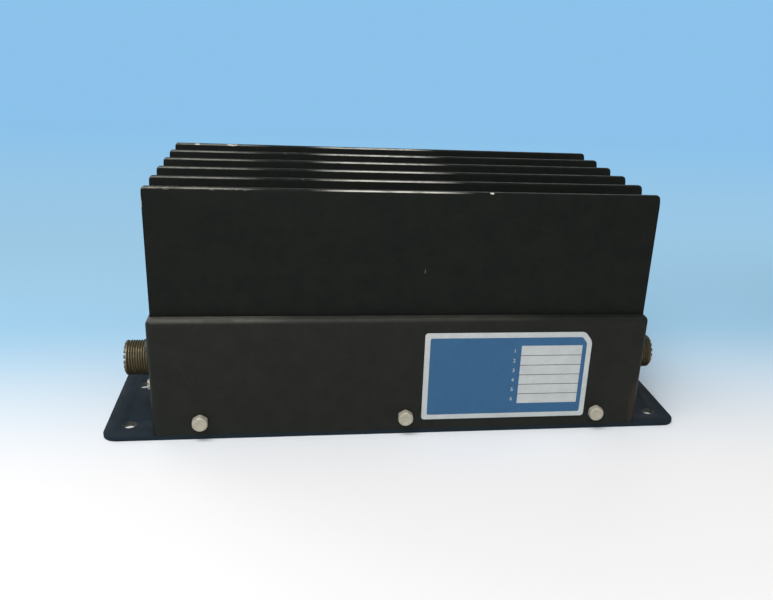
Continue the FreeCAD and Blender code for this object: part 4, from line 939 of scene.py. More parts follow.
WHITE_INK = Finish("white_ink", (0.50, 0.53, 0.52), (0.42, 0.45, 0.45), patch_size=6.0 * MM, gloss_from=0.4,
                   gloss_to=0.55, specular=0.35, grain_size=0.3 * MM, grain_depth=0.003 * MM)
BLUE_INK = Finish("blue_ink", (0.020, 0.092, 0.200), (0.026, 0.106, 0.218), patch_size=7.0 * MM, gloss_from=0.35,
                  gloss_to=0.5, specular=0.3, grain_size=0.3 * MM, grain_depth=0.003 * MM)
RULE_INK = Finish("rule_ink", (0.05, 0.055, 0.06), (0.10, 0.10, 0.10), patch_size=2.0 * MM)
MOULDED = Finish("black_moulding", (0.012, 0.012, 0.012), (0.02, 0.02, 0.019), patch_size=5.0 * MM,
                 gloss_from=0.3, gloss_to=0.45, grain_size=0.25 * MM, dust=0.03)
LAMINATE = BoardLaminate("landed_laminate", (0.17, 0.16, 0.055), (0.21, 0.19, 0.075), patch_size=3.0 * MM,
                         gloss_from=0.3, gloss_to=0.45, grain_size=0.5 * MM, grain_depth=0.006 * MM)
FIBRE = Finish("fibre_board", (0.24, 0.21, 0.09), (0.19, 0.17, 0.07), patch_size=2.0 * MM)
CERAMIC = Finish("glazed_ceramic", (0.72, 0.70, 0.63), (0.62, 0.60, 0.53), patch_size=2.5 * MM, gloss_from=0.22,
                 gloss_to=0.35, grain_size=0.3 * MM, grain_depth=0.004 * MM)
GOLD = Finish("gold_plate", (0.72, 0.50, 0.20), (0.60, 0.40, 0.15), patch_size=1.5 * MM, metallic=1.0,
              gloss_from=0.25, gloss_to=0.4, grain_size=0.2 * MM, grain_depth=0.004 * MM)
COPPER = Finish("enamelled_copper", (0.42, 0.15, 0.06), (0.34, 0.11, 0.045), patch_size=2.0 * MM, metallic=0.9,
                gloss_from=0.22, gloss_to=0.36, grain_size=0.2 * MM, grain_depth=0.003 * MM, coat=0.3)
FERRITE = Finish("fired_ferrite", (0.030, 0.029, 0.028), (0.050, 0.047, 0.044), patch_size=1.2 * MM,
                 gloss_from=0.45, gloss_to=0.65, grain_size=0.25 * MM, grain_depth=0.02 * MM)
TAN = Finish("tan_lacquer", (0.46, 0.27, 0.11), (0.38, 0.21, 0.085), patch_size=1.6 * MM, gloss_from=0.35,
             gloss_to=0.5, grain_size=0.3 * MM, grain_depth=0.008 * MM)
CAN_SLEEVE = Finish("can_sleeve", (0.020, 0.055, 0.16), (0.030, 0.075, 0.20), patch_size=3.0 * MM,
                    gloss_from=0.25, gloss_to=0.35, grain_depth=0.003 * MM)
TIN = Finish("tinned_wire", (0.60, 0.59, 0.56), (0.45, 0.44, 0.42), patch_size=0.8 * MM, metallic=0.95,
             gloss_from=0.3, gloss_to=0.45, grain_size=0.15 * MM, grain_depth=0.005 * MM)
BAND_BROWN = Finish("band_brown", (0.075, 0.028, 0.012), (0.10, 0.04, 0.018), patch_size=0.8 * MM)
BAND_RED = Finish("band_red", (0.42, 0.025, 0.015), (0.34, 0.02, 0.012), patch_size=0.8 * MM)
IRON = Finish("plated_iron", (0.40, 0.38, 0.33), (0.30, 0.28, 0.24), patch_size=2.0 * MM, metallic=0.85,
              gloss_from=0.35, gloss_to=0.5, grain_size=0.2 * MM, grain_depth=0.006 * MM)
SLEEVE = WireSleeve("supply_sleeve", (0.014, 0.014, 0.014), (0.022, 0.021, 0.020), patch_size=3.0 * MM,
                    gloss_from=0.38, gloss_to=0.5, grain_depth=0.004 * MM)
COAX_JACKET = Finish("coax_jacket", (0.020, 0.018, 0.016), (0.032, 0.029, 0.025), patch_size=2.5 * MM,
                     gloss_from=0.4, gloss_to=0.55, grain_depth=0.005 * MM)

KEPT: dict[Finish, tuple[str, ...]] = {
    LAMINATE: ("circuit_board",),
    COPPER: ("output_transformer_winding", "tuning_coils"),
    SLEEVE: ("supply_wires",),
    COAX_JACKET: ("input_coax_link", "output_coax_link"),
}


def finish_kept_nodes() -> None:
    """Give every CAD node that stays its own finish."""
    for finish, nodes in KEPT.items():
        for node in nodes:
            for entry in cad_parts[node].material_slots:
                entry.link = "OBJECT"
                entry.material = finish.material()
        log.info("%s: finish of %s", finish.name, ", ".join(nodes))


def drills_for(nodes: Sequence[str], axis: Vector, clearance: float, start: float, end: float) -> list[Blank]:
    """Make a drill for the shank of every screw of some CAD nodes.

    Args:
        nodes: The screws' nodes, each with the diameter of its shank.
        axis: The way the drills run.
        clearance: How much wider the hole is than the shank.
        start: Where along the axis they begin.
        end: Where along the axis they end.

    Returns:
        The drills.
    """
    drills = []
    for node in nodes:
        for box in solids(node):
            place = centre(box)
            foot = place - axis * place.dot(axis) + axis * start
            drills.append(Blank.bar("drill", foot, axis, end - start, SHANKS[node] / 2 + clearance / 2, 24))
    return drills


SHANKS = {
    "front_cover_screws": 4.1 * MM, "rear_cover_screws": 4.1 * MM, "heat_sink_screws": 4.0 * MM,
    "input_socket_screws": 2.8 * MM, "output_socket_screws": 2.8 * MM, "terminal_block_screws": 2.8 * MM,
    "terminal_screws": 3.4 * MM, "board_screws": 3.0 * MM, "transistor_screws": 3.0 * MM,
}


@dataclass
class HeatSink:
    """Black extruded heat sink: a base with upright fins."""

    node: str = "heat_sink"
    fins: int = 6
    fin_thickness: float = 3.0 * MM
    base: float = 6.4 * MM
    root_radius: float = 1.6 * MM
    tip_radius: float = 0.8 * MM
    corner_radius: float = 1.5 * MM

    def build(self) -> None:
        """Pull the fins up from the base, then round their roots, corners and tips."""
        low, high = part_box(self.node)
        root, top = low.z + self.base, high.z
        piece = Blank.block("heat_sink_body", low, (high.x, high.y, root))
        pitch = (high.y - low.y - self.fin_thickness) / (self.fins - 1)
        fronts = [low.y + index * pitch for index in range(self.fins)]
        for y in fronts:
            for face_y in (y, y + self.fin_thickness):
                piece.bisect((0.0, face_y, 0.0), Y)
        on_fin = lambda y: any(front < y < front + self.fin_thickness for front in fronts)
        piece.extrude(Z * (top - root), lambda face: face.normal.z > 0.9 and on_fin(middle(face).y))
        piece.bevel(self.root_radius, 4, lambda edge: runs(edge, X) and near(middle(edge).z, root)
                    and low.y + NEAR < middle(edge).y < high.y - NEAR)
        piece.bevel(self.corner_radius, 4, lambda edge: runs(edge, Y) and near(middle(edge).z, top))
        piece.bevel(self.tip_radius, 3, lambda edge: middle(edge).z > top - self.corner_radius - NEAR
                    and not runs(edge, Y) and not runs(edge, Z) and edge.calc_face_angle(0.0) > 1.0)
        piece.close()
        depths = {"heat_sink_screws": 5.1 * MM, "board_screws": 4.6 * MM, "transistor_screws": 4.6 * MM}
        drills = []
        for node, depth in depths.items():
            drills += drills_for([node], Z, 0.1 * MM, low.z - OVERSHOOT, low.z + depth)
        piece.work(Cut.AWAY, *drills)
        piece.finished(SINK_PAINT, self.node)


@dataclass
class CaseShell:
    """Bent sheet case with rounded edges and the holes for what it carries."""

    node: str = "chassis_box"
    wall: float = 1.6 * MM
    bend: float = 2.6 * MM
    rim_end: float = 17.5 * MM
    rim_side: float = 15.0 * MM
    pass_gap: float = 0.4 * MM
    socket_hole: float = 14.2 * MM
    terminal_hole: float = 6.0 * MM
    terminal_drop: float = 4.2 * MM

    def build(self) -> None:
        """Round a block, open its underside, give it a wall, cut the rim and drill it."""
        low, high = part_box(self.node)
        piece = Blank.block("case_shell", low, high)
        piece.bevel(self.bend, 6, lambda edge: runs(edge, Z) or near(middle(edge).z, high.z))
        with piece.edit(Pick.FACES, lambda face: face.normal.z < -0.9):
            bpy.ops.mesh.delete(type="FACE")
        piece.finish_with("SOLIDIFY", thickness=self.wall, offset=-1.0, use_even_offset=True)
        rim = Vector((self.rim_end, self.rim_side, 0.0))
        opening = Blank.block("opening", low + rim + Z * (high.z - low.z - 2 * self.wall),
                              high - rim + Z * OVERSHOOT)
        piece.work(Cut.AWAY, opening, *self.drills(low, high))
        piece.finished(CASE_PAINT, self.node)

    def drills(self, low: Vector, high: Vector) -> list[Blank]:
        """The drills for every hole in the walls and the rim."""
        gap, past = self.pass_gap, OVERSHOOT
        drills = drills_for(["heat_sink_screws"], Z, gap, high.z - self.wall - past, high.z + past)
        for nodes, axis, wall_low, wall_high in (
            (["front_cover_screws"], Y, low.y, low.y + self.wall),
            (["rear_cover_screws", "terminal_block_screws"], Y, high.y - self.wall, high.y),
            (["input_socket_screws"], X, low.x, low.x + self.wall),
            (["output_socket_screws"], X, high.x - self.wall, high.x),
        ):
            drills += drills_for(nodes, axis, gap, wall_low - past, wall_high + past)
        for node, wall_low in (("input_socket_contact", low.x), ("output_socket_contact", high.x - self.wall)):
            place = centre(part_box(node))
            foot = Vector((wall_low - past, place.y, place.z))
            drills.append(Blank.bar("drill", foot, X, self.wall + 2 * past, self.socket_hole / 2, 48))
        for box in solids("terminal_straps"):
            place = centre(box)
            foot = Vector((place.x, high.y - self.wall - past, place.z - self.terminal_drop))
            drills.append(Blank.bar("drill", foot, Y, self.wall + 2 * past, self.terminal_hole / 2))
        return drills


@dataclass
class BasePlate:
    """Flat plate that sticks out at both ends, with its mounting holes."""

    node: str = "base_plate"
    corner: float = 6.35 * MM
    edge: float = 0.3 * MM
    hole: float = 5.2 * MM
    end_inset: float = 10.0 * MM
    side_inset: float = 11.0 * MM
    middle_inset: float = 51.0 * MM

    def build(self) -> None:
        """Round the plate's corners, drill it and ease its edges."""
        low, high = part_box(self.node)
        piece = Blank.block("base_plate_body", low, high)
        piece.bevel(self.corner, 8, lambda edge: runs(edge, Z))
        feet = [Vector((x, y, low.z - OVERSHOOT)) for x in (low.x + self.end_inset, high.x - self.end_inset)
                for y in (low.y + self.side_inset, low.y + self.middle_inset, high.y - self.side_inset)]
        length = high.z - low.z + 2 * OVERSHOOT
        piece.work(Cut.AWAY, *[Blank.bar("drill", foot, Z, length, self.hole / 2) for foot in feet])
        piece.ease(self.edge)
        piece.smooth()
        piece.dress(PLATE_PAINT)
        reach = self.hole / 2 + 1.05 * self.edge
        piece.dress(BARE_EDGE, lambda face: any((face.center.xy - foot.xy).length < reach for foot in feet))
        piece.hand_over(self.node)


@dataclass
class HexScrews:
    """Indented hex-head screws along one lower edge of the case."""

    node: str
    head: float = 3.0 * MM
    flats: float = 6.35 * MM
    chamfer: float = 0.8 * MM
    dish: float = 2.1 * MM
    dish_depth: float = 0.3 * MM
    shank: float = 4.1 * MM
    pitch: float = 0.8 * MM
    sides: int = 24

    def build(self) -> None:
        """Model one screw in full, then copy it to its neighbours' places."""
        places = solids(self.node)
        low, high = places[0]
        outward = Y if centre(places[0]).y > 0 else -Y
        tip = Vector((centre(places[0]).x, low.y if outward.y > 0 else high.y, centre(places[0]).z))
        length = high.y - low.y - self.head
        corner = self.flats / math.sqrt(3)
        head = Blank.bar(self.node + "_threaded", tip + outward * length, outward, self.head, corner, 6)
        head.turn(math.radians(self.corner_up(head)), Y, tip)
        rounded = Blank.turned("crown", tip + outward * length, outward, [
            (-OVERSHOOT, corner * 0.945), (self.head - 1.3 * self.chamfer, corner * 0.945),
            (self.head - 0.7 * self.chamfer, corner * 0.92), (self.head - 0.25 * self.chamfer, corner * 0.87),
            (self.head, corner * 0.80),
        ], self.sides)
        head.work(Cut.COMMON, rounded)
        dished = Blank.turned("dish", tip + outward * (length + self.head), outward, [
            (-self.dish_depth, self.dish * 0.72), (-self.dish_depth * 0.4, self.dish * 0.93),
            (OVERSHOOT, self.dish * 1.05),
        ], self.sides)
        head.work(Cut.AWAY, dished)
        head.joined(threaded_shank(tip, outward, length + 0.2 * MM, self.shank / 2, self.pitch))
        head.smooth(28.0)
        head.dress(ZINC)
        head.repeat(places)
        head.hand_over(self.node)

    def corner_up(self, head: Blank) -> float:
        """The turn in degrees that points one of the hexagon's corners up."""
        heart = sum((vertex.co for vertex in head.obj.data.vertices), Vector()) / len(head.obj.data.vertices)
        top = max(head.obj.data.vertices, key=lambda vertex: vertex.co.z).co - heart
        lean = math.degrees(math.atan2(top.x, top.z))
        return -lean if abs(lean) < 29.0 else 30.0 - lean


def threaded_shank(tip: Vector, axis: Vector, length: float, radius: float, pitch: float) -> Blank:
    """Turn a shank with a pointed tip and a ridge for each pitch.

    Args:
        tip: The screw's tip.
        axis: The way from the tip to the head.
        length: The shank's length.
        radius: The radius over its ridges.
        pitch: The distance from ridge to ridge.

    Returns:
        The shank.
    """
    depth = 0.5 * pitch
    profile = [(0.0, radius - 1.6 * depth)]
    along = pitch
    while along < length - pitch:
        profile += [(along, radius), (along + pitch / 2, radius - depth)]
        along += pitch
    profile.append((length, radius - depth))
    return Blank.turned("shank", tip, axis, profile, 16)


@dataclass
class SlottedScrews:
    """Slotted cheese-head screws of one CAD node, all alike."""

    node: str
    axis: Vector
    radius: float
    head_ratio: float = 1.8
    height_ratio: float = 0.6
    slot_ratio: float = 0.25
    pitch: float = 0.5 * MM
    rim: float = 0.12 * MM
    dark_above: float = math.inf

    def build(self) -> None:
        """Model the screw of each place with its slot at an angle of its own."""
        rng = random.Random(self.node)
        screws = Blank.assembled(self.node + "_threaded", [
            self.one(low, high, rng.uniform(0.0, math.pi)) for low, high in solids(self.node)])
        screws.smooth()
        screws.dress(ZINC)
        if self.dark_above < math.inf:
            screws.dress(TARNISH, lambda face: face.center.z > self.dark_above)
        screws.hand_over(self.node)

    def one(self, low: Vector, high: Vector, angle: float) -> Blank:
        """Model the screw that fills a box.

        Args:
            low: The box's lowest corner.
            high: Its highest corner.
            angle: How far its slot is turned.

        Returns:
            The screw.
        """
        middle_point = (low + high) / 2
        span = abs((high - low).dot(self.axis))
        tip = middle_point - self.axis * (span / 2)
        height = 2 * self.radius * self.height_ratio
        length = span - height
        head_radius = self.radius * self.head_ratio
        head = Blank.turned("screw", tip, self.axis, [
            (length, head_radius), (length + height * 0.62, head_radius),
            (length + height * 0.86, head_radius * 0.93), (span, head_radius * 0.76),
        ], 24)
        seat = tip + self.axis * length
        head.bevel(self.rim, 1, lambda edge: abs((middle(edge) - seat).dot(self.axis)) < NEAR)
        slot = 2 * self.radius * self.slot_ratio
        face = tip + self.axis * span
        across = X if abs(self.axis.dot(X)) < 0.5 else Y
        along = self.axis.cross(across)
        reach = across * (slot / 2) + along * (2 * head_radius) + self.axis * (height * 0.5)
        cutter = Blank.block("slot", face - reach, face + reach)
        cutter.turn(angle, self.axis, face)
        head.work(Cut.AWAY, cutter)
        return head.joined(threaded_shank(tip, self.axis, length + 0.1 * MM, self.radius, self.pitch))


@dataclass
class CoaxSocket:
    """Threaded coaxial socket on one end wall: shell, insulator and centre contact."""

    end: End
    flange: float = 2.0 * MM
    flange_corner: float = 2.0 * MM
    edge: float = 0.25 * MM
    screw_inset: float = 3.57 * MM
    screw_hole: float = 3.2 * MM
    boss: float = 5.0 * MM
    boss_radius: float = 6.9 * MM
    bore_radius: float = 6.1 * MM
    root_radius: float = 7.3 * MM
    crest_radius: float = 7.93 * MM
    pitch: float = 25.4 / 24 * MM
    turns: int = 9
    notches: int = 18
    notch_width: float = 1.0 * MM
    notch_depth: float = 0.9 * MM
    contact_slits: int = 4
    contact_bore: float = 2.0 * MM
    contact_radius: float = 2.7 * MM
    contact_tail: float = 7.0 * MM
    tail_radius: float = 2.0 * MM
    bore_depth: float = 10.0 * MM
    slit: float = 0.45 * MM
    slit_depth: float = 7.0 * MM

    def __post_init__(self) -> None:
        """Find the socket's axis and its seat on the wall."""
        self.name = self.end.name.lower() + "_socket"
        self.out = X * self.end.value
        low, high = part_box(self.name + "_shell")
        self.low, self.high = low, high
        length = high.x - low.x
        self.seat = Vector((high.x - length + self.boss if self.end is End.OUTPUT else low.x + length - self.boss,
                            centre((low, high)).y, centre((low, high)).z))
        self.reach = length - self.boss

    def build(self) -> None:
        """Model the shell, the insulator and the contact."""
        self.make_shell()
        self.make_insulator()
        self.make_contact()

    def make_shell(self) -> None:
        """Flange, notched barrel and helical thread."""
        half = Vector((0.0, (self.high.y - self.low.y) / 2, (self.high.z - self.low.z) / 2))
        flange = Blank.block(self.name + "_threaded_shell", self.seat - half,
                             self.seat + half + self.out * self.flange)
        flange.bevel(self.flange_corner, 5, lambda edge: runs(edge, X))
        step = half - Vector((0.0, self.screw_inset, self.screw_inset))
        drills = [
            Blank.bar("drill", self.seat + Vector((0.0, y, z)) - self.out * OVERSHOOT, self.out,
                      self.flange + 2 * OVERSHOOT, self.screw_hole / 2, 24)
            for y in (-step.y, step.y) for z in (-step.z, step.z)
        ]
        bore = Blank.bar("bore", self.seat - self.out * OVERSHOOT, self.out, self.flange + 2 * OVERSHOOT,
                         self.bore_radius + 0.05 * MM, 48)
        flange.work(Cut.AWAY, bore, *drills)
        flange.ease(self.edge)
        chamfer = self.crest_radius - self.root_radius
        barrel = Blank.turned("barrel", self.seat, self.out, [
            (-self.boss, self.bore_radius), (-self.boss, self.boss_radius), (0.0, self.boss_radius),
            (self.flange * 0.5, self.boss_radius), (self.flange * 0.5, self.root_radius),
            (self.reach - 1.5 * self.pitch, self.root_radius),
            (self.reach - 1.2 * self.pitch, self.crest_radius - 0.1 * MM),
            (self.reach - chamfer, self.crest_radius - 0.1 * MM), (self.reach, self.root_radius - 0.1 * MM),
            (self.reach, self.bore_radius + 0.25 * MM), (self.reach - 0.3 * MM, self.bore_radius),
            (-self.boss, self.bore_radius),
        ], 64)
        angles = [2 * math.pi * (index + 0.25) / self.notches for index in range(self.notches // 2)]
        barrel.work(Cut.AWAY, *self.crossbars(self.seat + self.out * self.reach, self.notch_depth,
                                              self.crest_radius * 1.5, self.notch_width, angles))
        flange.joined(barrel, self.make_thread())
        flange.smooth(32.0)
        flange.dress(NICKEL)
        flange.hand_over(self.name + "_shell")

    def crossbars(self, tip: Vector, depth: float, reach: float, width: float,
                  angles: Sequence[float]) -> list[Blank]:
        """Make bars across the axis, each of which cuts a gap on both its sides.

        Args:
            tip: The end that they cut into.
            depth: How deep they cut.
            reach: How far they reach from the axis.
            width: How wide they are.
            angles: How far each is turned about the axis.

        Returns:
            The bars.
        """
        corner = Vector((0.0, reach, width / 2))
        bars = []
        for angle in angles:
            bar = Blank.block("crossbar", tip - self.out * depth - corner, tip + self.out * OVERSHOOT + corner)
            bar.turn(angle, X, tip)
            bars.append(bar)
        return bars

    def make_thread(self) -> Blank:
        """Wind a ridge of triangular section along the barrel."""
        deselect()
        bpy.ops.mesh.primitive_circle_add(vertices=3, radius=self.pitch / 2, rotation=(math.pi / 2, 0.0, 0.0))
        ridge = Blank.taken("ridge")
        rise = self.crest_radius - self.root_radius + 0.1 * MM
        corners = [vertex.co for vertex in ridge.obj.data.vertices]
        width = max(c.x for c in corners) - min(c.x for c in corners)
        height = max(c.z for c in corners) - min(c.z for c in corners)
        with ridge.edit(Pick.CORNERS):
            bpy.ops.transform.resize(value=(0.96 * self.pitch / width, 1.0, rise / height),
                                     center_override=(0.0, 0.0, 0.0))
            top = max(vertex.co.z for vertex in bmesh.from_edit_mesh(ridge.obj.data).verts)
            bpy.ops.transform.translate(value=(0.0, 0.0, self.crest_radius - top))
        ridge.finish_with("SCREW", axis="X", angle=2 * math.pi, screw_offset=self.pitch, iterations=self.turns,
                          steps=40, render_steps=40, use_normal_calculate=True)
        ridge.close()
        if self.end is End.INPUT:
            ridge.turn(math.pi, Z, Vector())
        ridge.obj.location = self.seat + self.out * (self.flange + 0.6 * self.pitch)
        ridge.settle()
        return ridge

    def make_insulator(self) -> None:
        """A moulded ring with a raised collar round the contact."""
        low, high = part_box(self.name + "_insulator")
        length = high.x - low.x
        start = self.seat - self.out * self.boss
        radius = self.bore_radius - 0.05 * MM
        inner = self.contact_radius + 0.05 * MM
        ring = Blank.turned(self.name + "_moulded_insulator", start, self.out, [
            (0.0, inner), (0.0, radius), (length - 0.3 * MM, radius), (length, radius - 0.3 * MM),
            (length, inner + 1.9 * MM), (length - 0.7 * MM, inner + 1.6 * MM),
            (length - 0.7 * MM, inner + 0.9 * MM), (length, inner + 0.7 * MM), (length, inner), (0.0, inner),
        ], 48)
        ring.finished(PHENOLIC, self.name + "_insulator")

    def make_contact(self) -> None:
        """A silvered tube whose mouth is slit into springs."""
        low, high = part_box(self.name + "_contact")
        mouth = high.x if self.end is End.OUTPUT else low.x
        length = high.x - low.x
        start = Vector((mouth, self.seat.y, self.seat.z)) - self.out * length
        tube = Blank.turned(self.name + "_slit_contact", start, self.out, [
            (0.0, self.tail_radius - 0.4 * MM), (0.4 * MM, self.tail_radius),
            (self.contact_tail, self.tail_radius), (self.contact_tail, self.contact_radius),
            (length - 0.5 * MM, self.contact_radius),
            (length, self.contact_radius - 0.35 * MM), (length, self.contact_bore + 0.1 * MM),
            (length - 0.4 * MM, self.contact_bore), (length - self.bore_depth, self.contact_bore),
            (length - self.bore_depth - 0.8 * MM, 0.4 * MM),
        ], 32)
        angles = [math.pi * (index / 2 + 0.12) for index in range(self.contact_slits // 2)]
        tube.work(Cut.AWAY, *self.crossbars(start + self.out * length, self.slit_depth, 2 * self.contact_radius,
                                            self.slit, angles))
        tube.finished(SILVER, self.name + "_contact")


@dataclass
class Nameplate:
    """Printed plate: a blue field in a white border, with a white table of six rows."""

    node: str = "nameplate"
    corner: float = 1.4 * MM
    field_corner: float = 0.8 * MM
    border: float = 2.35 * MM
    table_left: float = 50.9 * MM
    table_right: float = 79.1 * MM
    table_low: float = 14.2 * MM
    table_high: float = 42.6 * MM
    rows: int = 6
    rule: float = 0.3 * MM
    clip_x: float = 79.9 * MM
    clip_z: float = 44.4 * MM
    digit: float = 2.5 * MM
    ink: float = 0.015 * MM

    def build(self) -> None:
        """Cut the plate's outline, then print its layers and the row numbers."""
        low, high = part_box(self.node)
        self.face = low.y
        clip = Vector((high.z - self.clip_z, 0.0, high.x - self.clip_x)).normalized()
        clip_point = Vector((high.x, 0.0, self.clip_z))
        piece = Blank.block("printed_nameplate", low, high)
        piece.bisect(clip_point, clip, keep_below=True)
        piece.bevel(self.corner, 4, lambda edge: runs(edge, Y))
        piece.ease(0.08 * MM, 1)
        piece.dress(WHITE_INK)
        inset = Vector((1.0, 0.0, 1.0)) * self.border
        field = self.layer(low + inset, high - inset, 1, BLUE_INK, (clip_point - clip * self.border, clip))
        row = (self.table_high - self.table_low) / self.rows
        left = Vector((self.table_left, 0.0, self.table_low))
        right = Vector((self.table_right, 0.0, self.table_high))
        layers = [field, self.layer(left, right, 2, WHITE_INK)]
        for index in range(1, self.rows):
            z = self.table_low + row * index
            layers.append(self.layer(Vector((left.x, 0.0, z - self.rule / 2)),
                                     Vector((right.x, 0.0, z + self.rule / 2)), 3, RULE_INK))
        for index in range(self.rows):
            layers.append(self.number(index + 1, self.table_high - row * (index + 0.5)))
        piece.joined(*layers)
        piece.hand_over(self.node)

    def layer(self, low: Vector, high: Vector, level: int, finish: Finish,
              clip: tuple[Vector, Vector] | None = None) -> Blank:
        """One printed layer.

        Args:
            low: Its lowest corner along X and Z.
            high: Its highest corner along X and Z.
            level: How many coats of ink its face stands proud.
            finish: Its ink.
            clip: A point and a normal of the plane that clips its corner.

        Returns:
            The layer.
        """
        print_low = Vector((low.x, self.face - level * self.ink, low.z))
        print_high = Vector((high.x, self.face + self.ink, high.z))
        blank = Blank.block("layer", print_low, print_high)
        if clip:
            blank.bisect(clip[0], clip[1], keep_below=True)
            blank.bevel(self.field_corner, 3, lambda edge: runs(edge, Y))
        blank.dress(finish)
        return blank

    def number(self, value: int, z: float) -> Blank:
        """A plain row number, printed left of the table."""
        deselect()
        place = (self.table_left - self.digit * 1.4, self.face - self.ink, z - self.digit * 0.36)
        bpy.ops.object.text_add(location=place, rotation=(math.pi / 2, 0.0, 0.0))
        text = bpy.context.object
        text.data.body = str(value)
        text.data.size = self.digit
        text.data.extrude = 2 * self.ink
        bpy.ops.object.convert(target="MESH")
        blank = Blank.taken("number")
        blank.close()
        blank.dress(WHITE_INK)
        return blank


@dataclass
class Nuts:
    """Hex nuts of one CAD node, chamfered at both ends and bored through."""

    node: str
    axis: Vector
    bore: float = 2.8 * MM
    flats: float = 6.35 * MM

    def build(self) -> None:
        """Model one nut, then copy it to its neighbours' places."""
        places = solids(self.node)
        low, high = places[0]
        heart = centre(places[0])
        span = abs((high - low).dot(self.axis))
        start = heart - self.axis * (span / 2)
        corner = self.flats / math.sqrt(3)
        piece = Blank.bar(self.node + "_chamfered", start, self.axis, span, corner, 6)
        top = max(piece.obj.data.vertices, key=lambda vertex: vertex.co.z).co - heart
        lean = math.atan2(top.dot(self.axis.cross(Z)), top.z)
        piece.turn(lean, self.axis, heart)
        rim = [(-OVERSHOOT, corner * 0.7), (0.0, corner * 0.86), (span * 0.18, corner * 1.03)]
        profile = rim + [(span - along, radius) for along, radius in reversed(rim)]
        piece.work(Cut.COMMON, Blank.turned("chamfers", start, self.axis, profile, 24))
        radius, cone = self.bore / 2, 0.35 * MM
        bore = [(-0.1 * MM, radius + cone), (cone, radius), (span - cone, radius),
                (span + 0.1 * MM, radius + cone)]
        piece.work(Cut.AWAY, Blank.turned("bore", start, self.axis, bore, 20))
        piece.smooth(28.0)
        piece.dress(ZINC)
        piece.repeat(places)
        piece.hand_over(self.node)


@dataclass
class TerminalBlock:
    """Moulded barrier block on the rear wall, with straps."""

    body_node: str = "terminal_block_body"
    strap_node: str = "terminal_straps"
    edge: float = 0.35 * MM
    body_depth: float = 5.0 * MM
    barrier: float = 1.6 * MM
    pitch: float = 11.0 * MM
    ear_hole: float = 3.2 * MM
    screw_hole: float = 3.5 * MM
    screw_depth: float = 4.0 * MM
    strap: float = 1.0 * MM
    pin_drop: float = 4.2 * MM
    pin_radius: float = 1.3 * MM

    def build(self) -> None:
        """Model the body and the straps."""
        low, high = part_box(self.body_node)
        face_y = low.y + self.body_depth
        heart = centre((low, high))
        body = Blank.block("barrier_block_body", low, (high.x, face_y, high.z))
        ribs = [heart.x + step * self.pitch for step in (-1, 0, 1)]
        for x in ribs:
            for side in (-1, 1):
                body.bisect((x + side * self.barrier / 2, 0.0, 0.0), X)
        on_rib = lambda x: any(abs(x - rib) < self.barrier / 2 for rib in ribs)
        body.extrude(Y * (high.y - face_y), lambda face: face.normal.y > 0.9 and on_rib(middle(face).x))
        drills = [
            Blank.bar("drill", Vector((x, low.y - OVERSHOOT, heart.z)), Y, self.body_depth + 2 * OVERSHOOT,
                      self.ear_hole / 2, 24)
            for x in [centre(box).x for box in solids("terminal_block_screws")]
        ]
        drills += [
            Blank.bar("drill", Vector((centre(box).x, face_y - self.screw_depth, centre(box).z)), Y,
                      self.screw_depth + OVERSHOOT, self.screw_hole / 2, 24)
            for box in solids("terminal_screws")
        ]
        body.work(Cut.AWAY, *drills)
        body.ease(self.edge)
        body.finished(MOULDED, self.body_node)
        straps = [self.strap_with_pin(box, centre(screw), face_y)
                  for box, screw in zip(solids(self.strap_node), solids("terminal_screws"))]
        Blank.assembled("barrier_block_straps", straps).finished(SILVER, self.strap_node)

    def strap_with_pin(self, box: Box, screw: Vector, face_y: float) -> Blank:
        """Make a flat strap with eased edges, a plain hole and a pin behind.

        Args:
            box: The CAD strap's box.
            screw: The middle of the screw that it takes.
            face_y: Where the body's face lies.

        Returns:
            The strap.
        """
        low, high = box
        strap = Blank.block("strap", (low.x, face_y, low.z), (high.x, face_y + self.strap, high.z))
        strap.work(Cut.AWAY, Blank.bar("hole", Vector((screw.x, face_y - OVERSHOOT, screw.z)), Y, 3 * OVERSHOOT,
                                       self.screw_hole / 2, 24))
        strap.ease(0.18 * MM)
        foot = Vector((centre(box).x, low.y, centre(box).z - self.pin_drop))
        pin = Blank.turned("pin", foot, Y, [
            (0.0, self.pin_radius - 0.4 * MM), (0.4 * MM, self.pin_radius), (face_y - low.y, self.pin_radius),
        ], 20)
        return strap.joined(pin)


@dataclass
class EasedNode:
    """A CAD node's own shape with every sharp edge rounded."""

    node: str
    finish: Finish
    edge: float = 0.15 * MM
    body: str = "case"
    flat: float = 0.5

    def build(self) -> None:
        """Copy the node's mesh, merge it to clean faces and ease its edges."""
        obj = bpy.data.objects.new(self.node + "_eased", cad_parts[self.node].data.copy())
        bpy.context.scene.collection.objects.link(obj)
        piece = Blank(obj)
        only(obj)
        bpy.ops.mesh.customdata_custom_splitnormals_clear()
        with piece.edit(Pick.CORNERS):
            bpy.ops.mesh.remove_doubles(threshold=MERGE)
            bpy.ops.mesh.dissolve_limited(angle_limit=math.radians(self.flat))
        piece.ease(self.edge)
        piece.finished(self.finish, self.node, self.body)


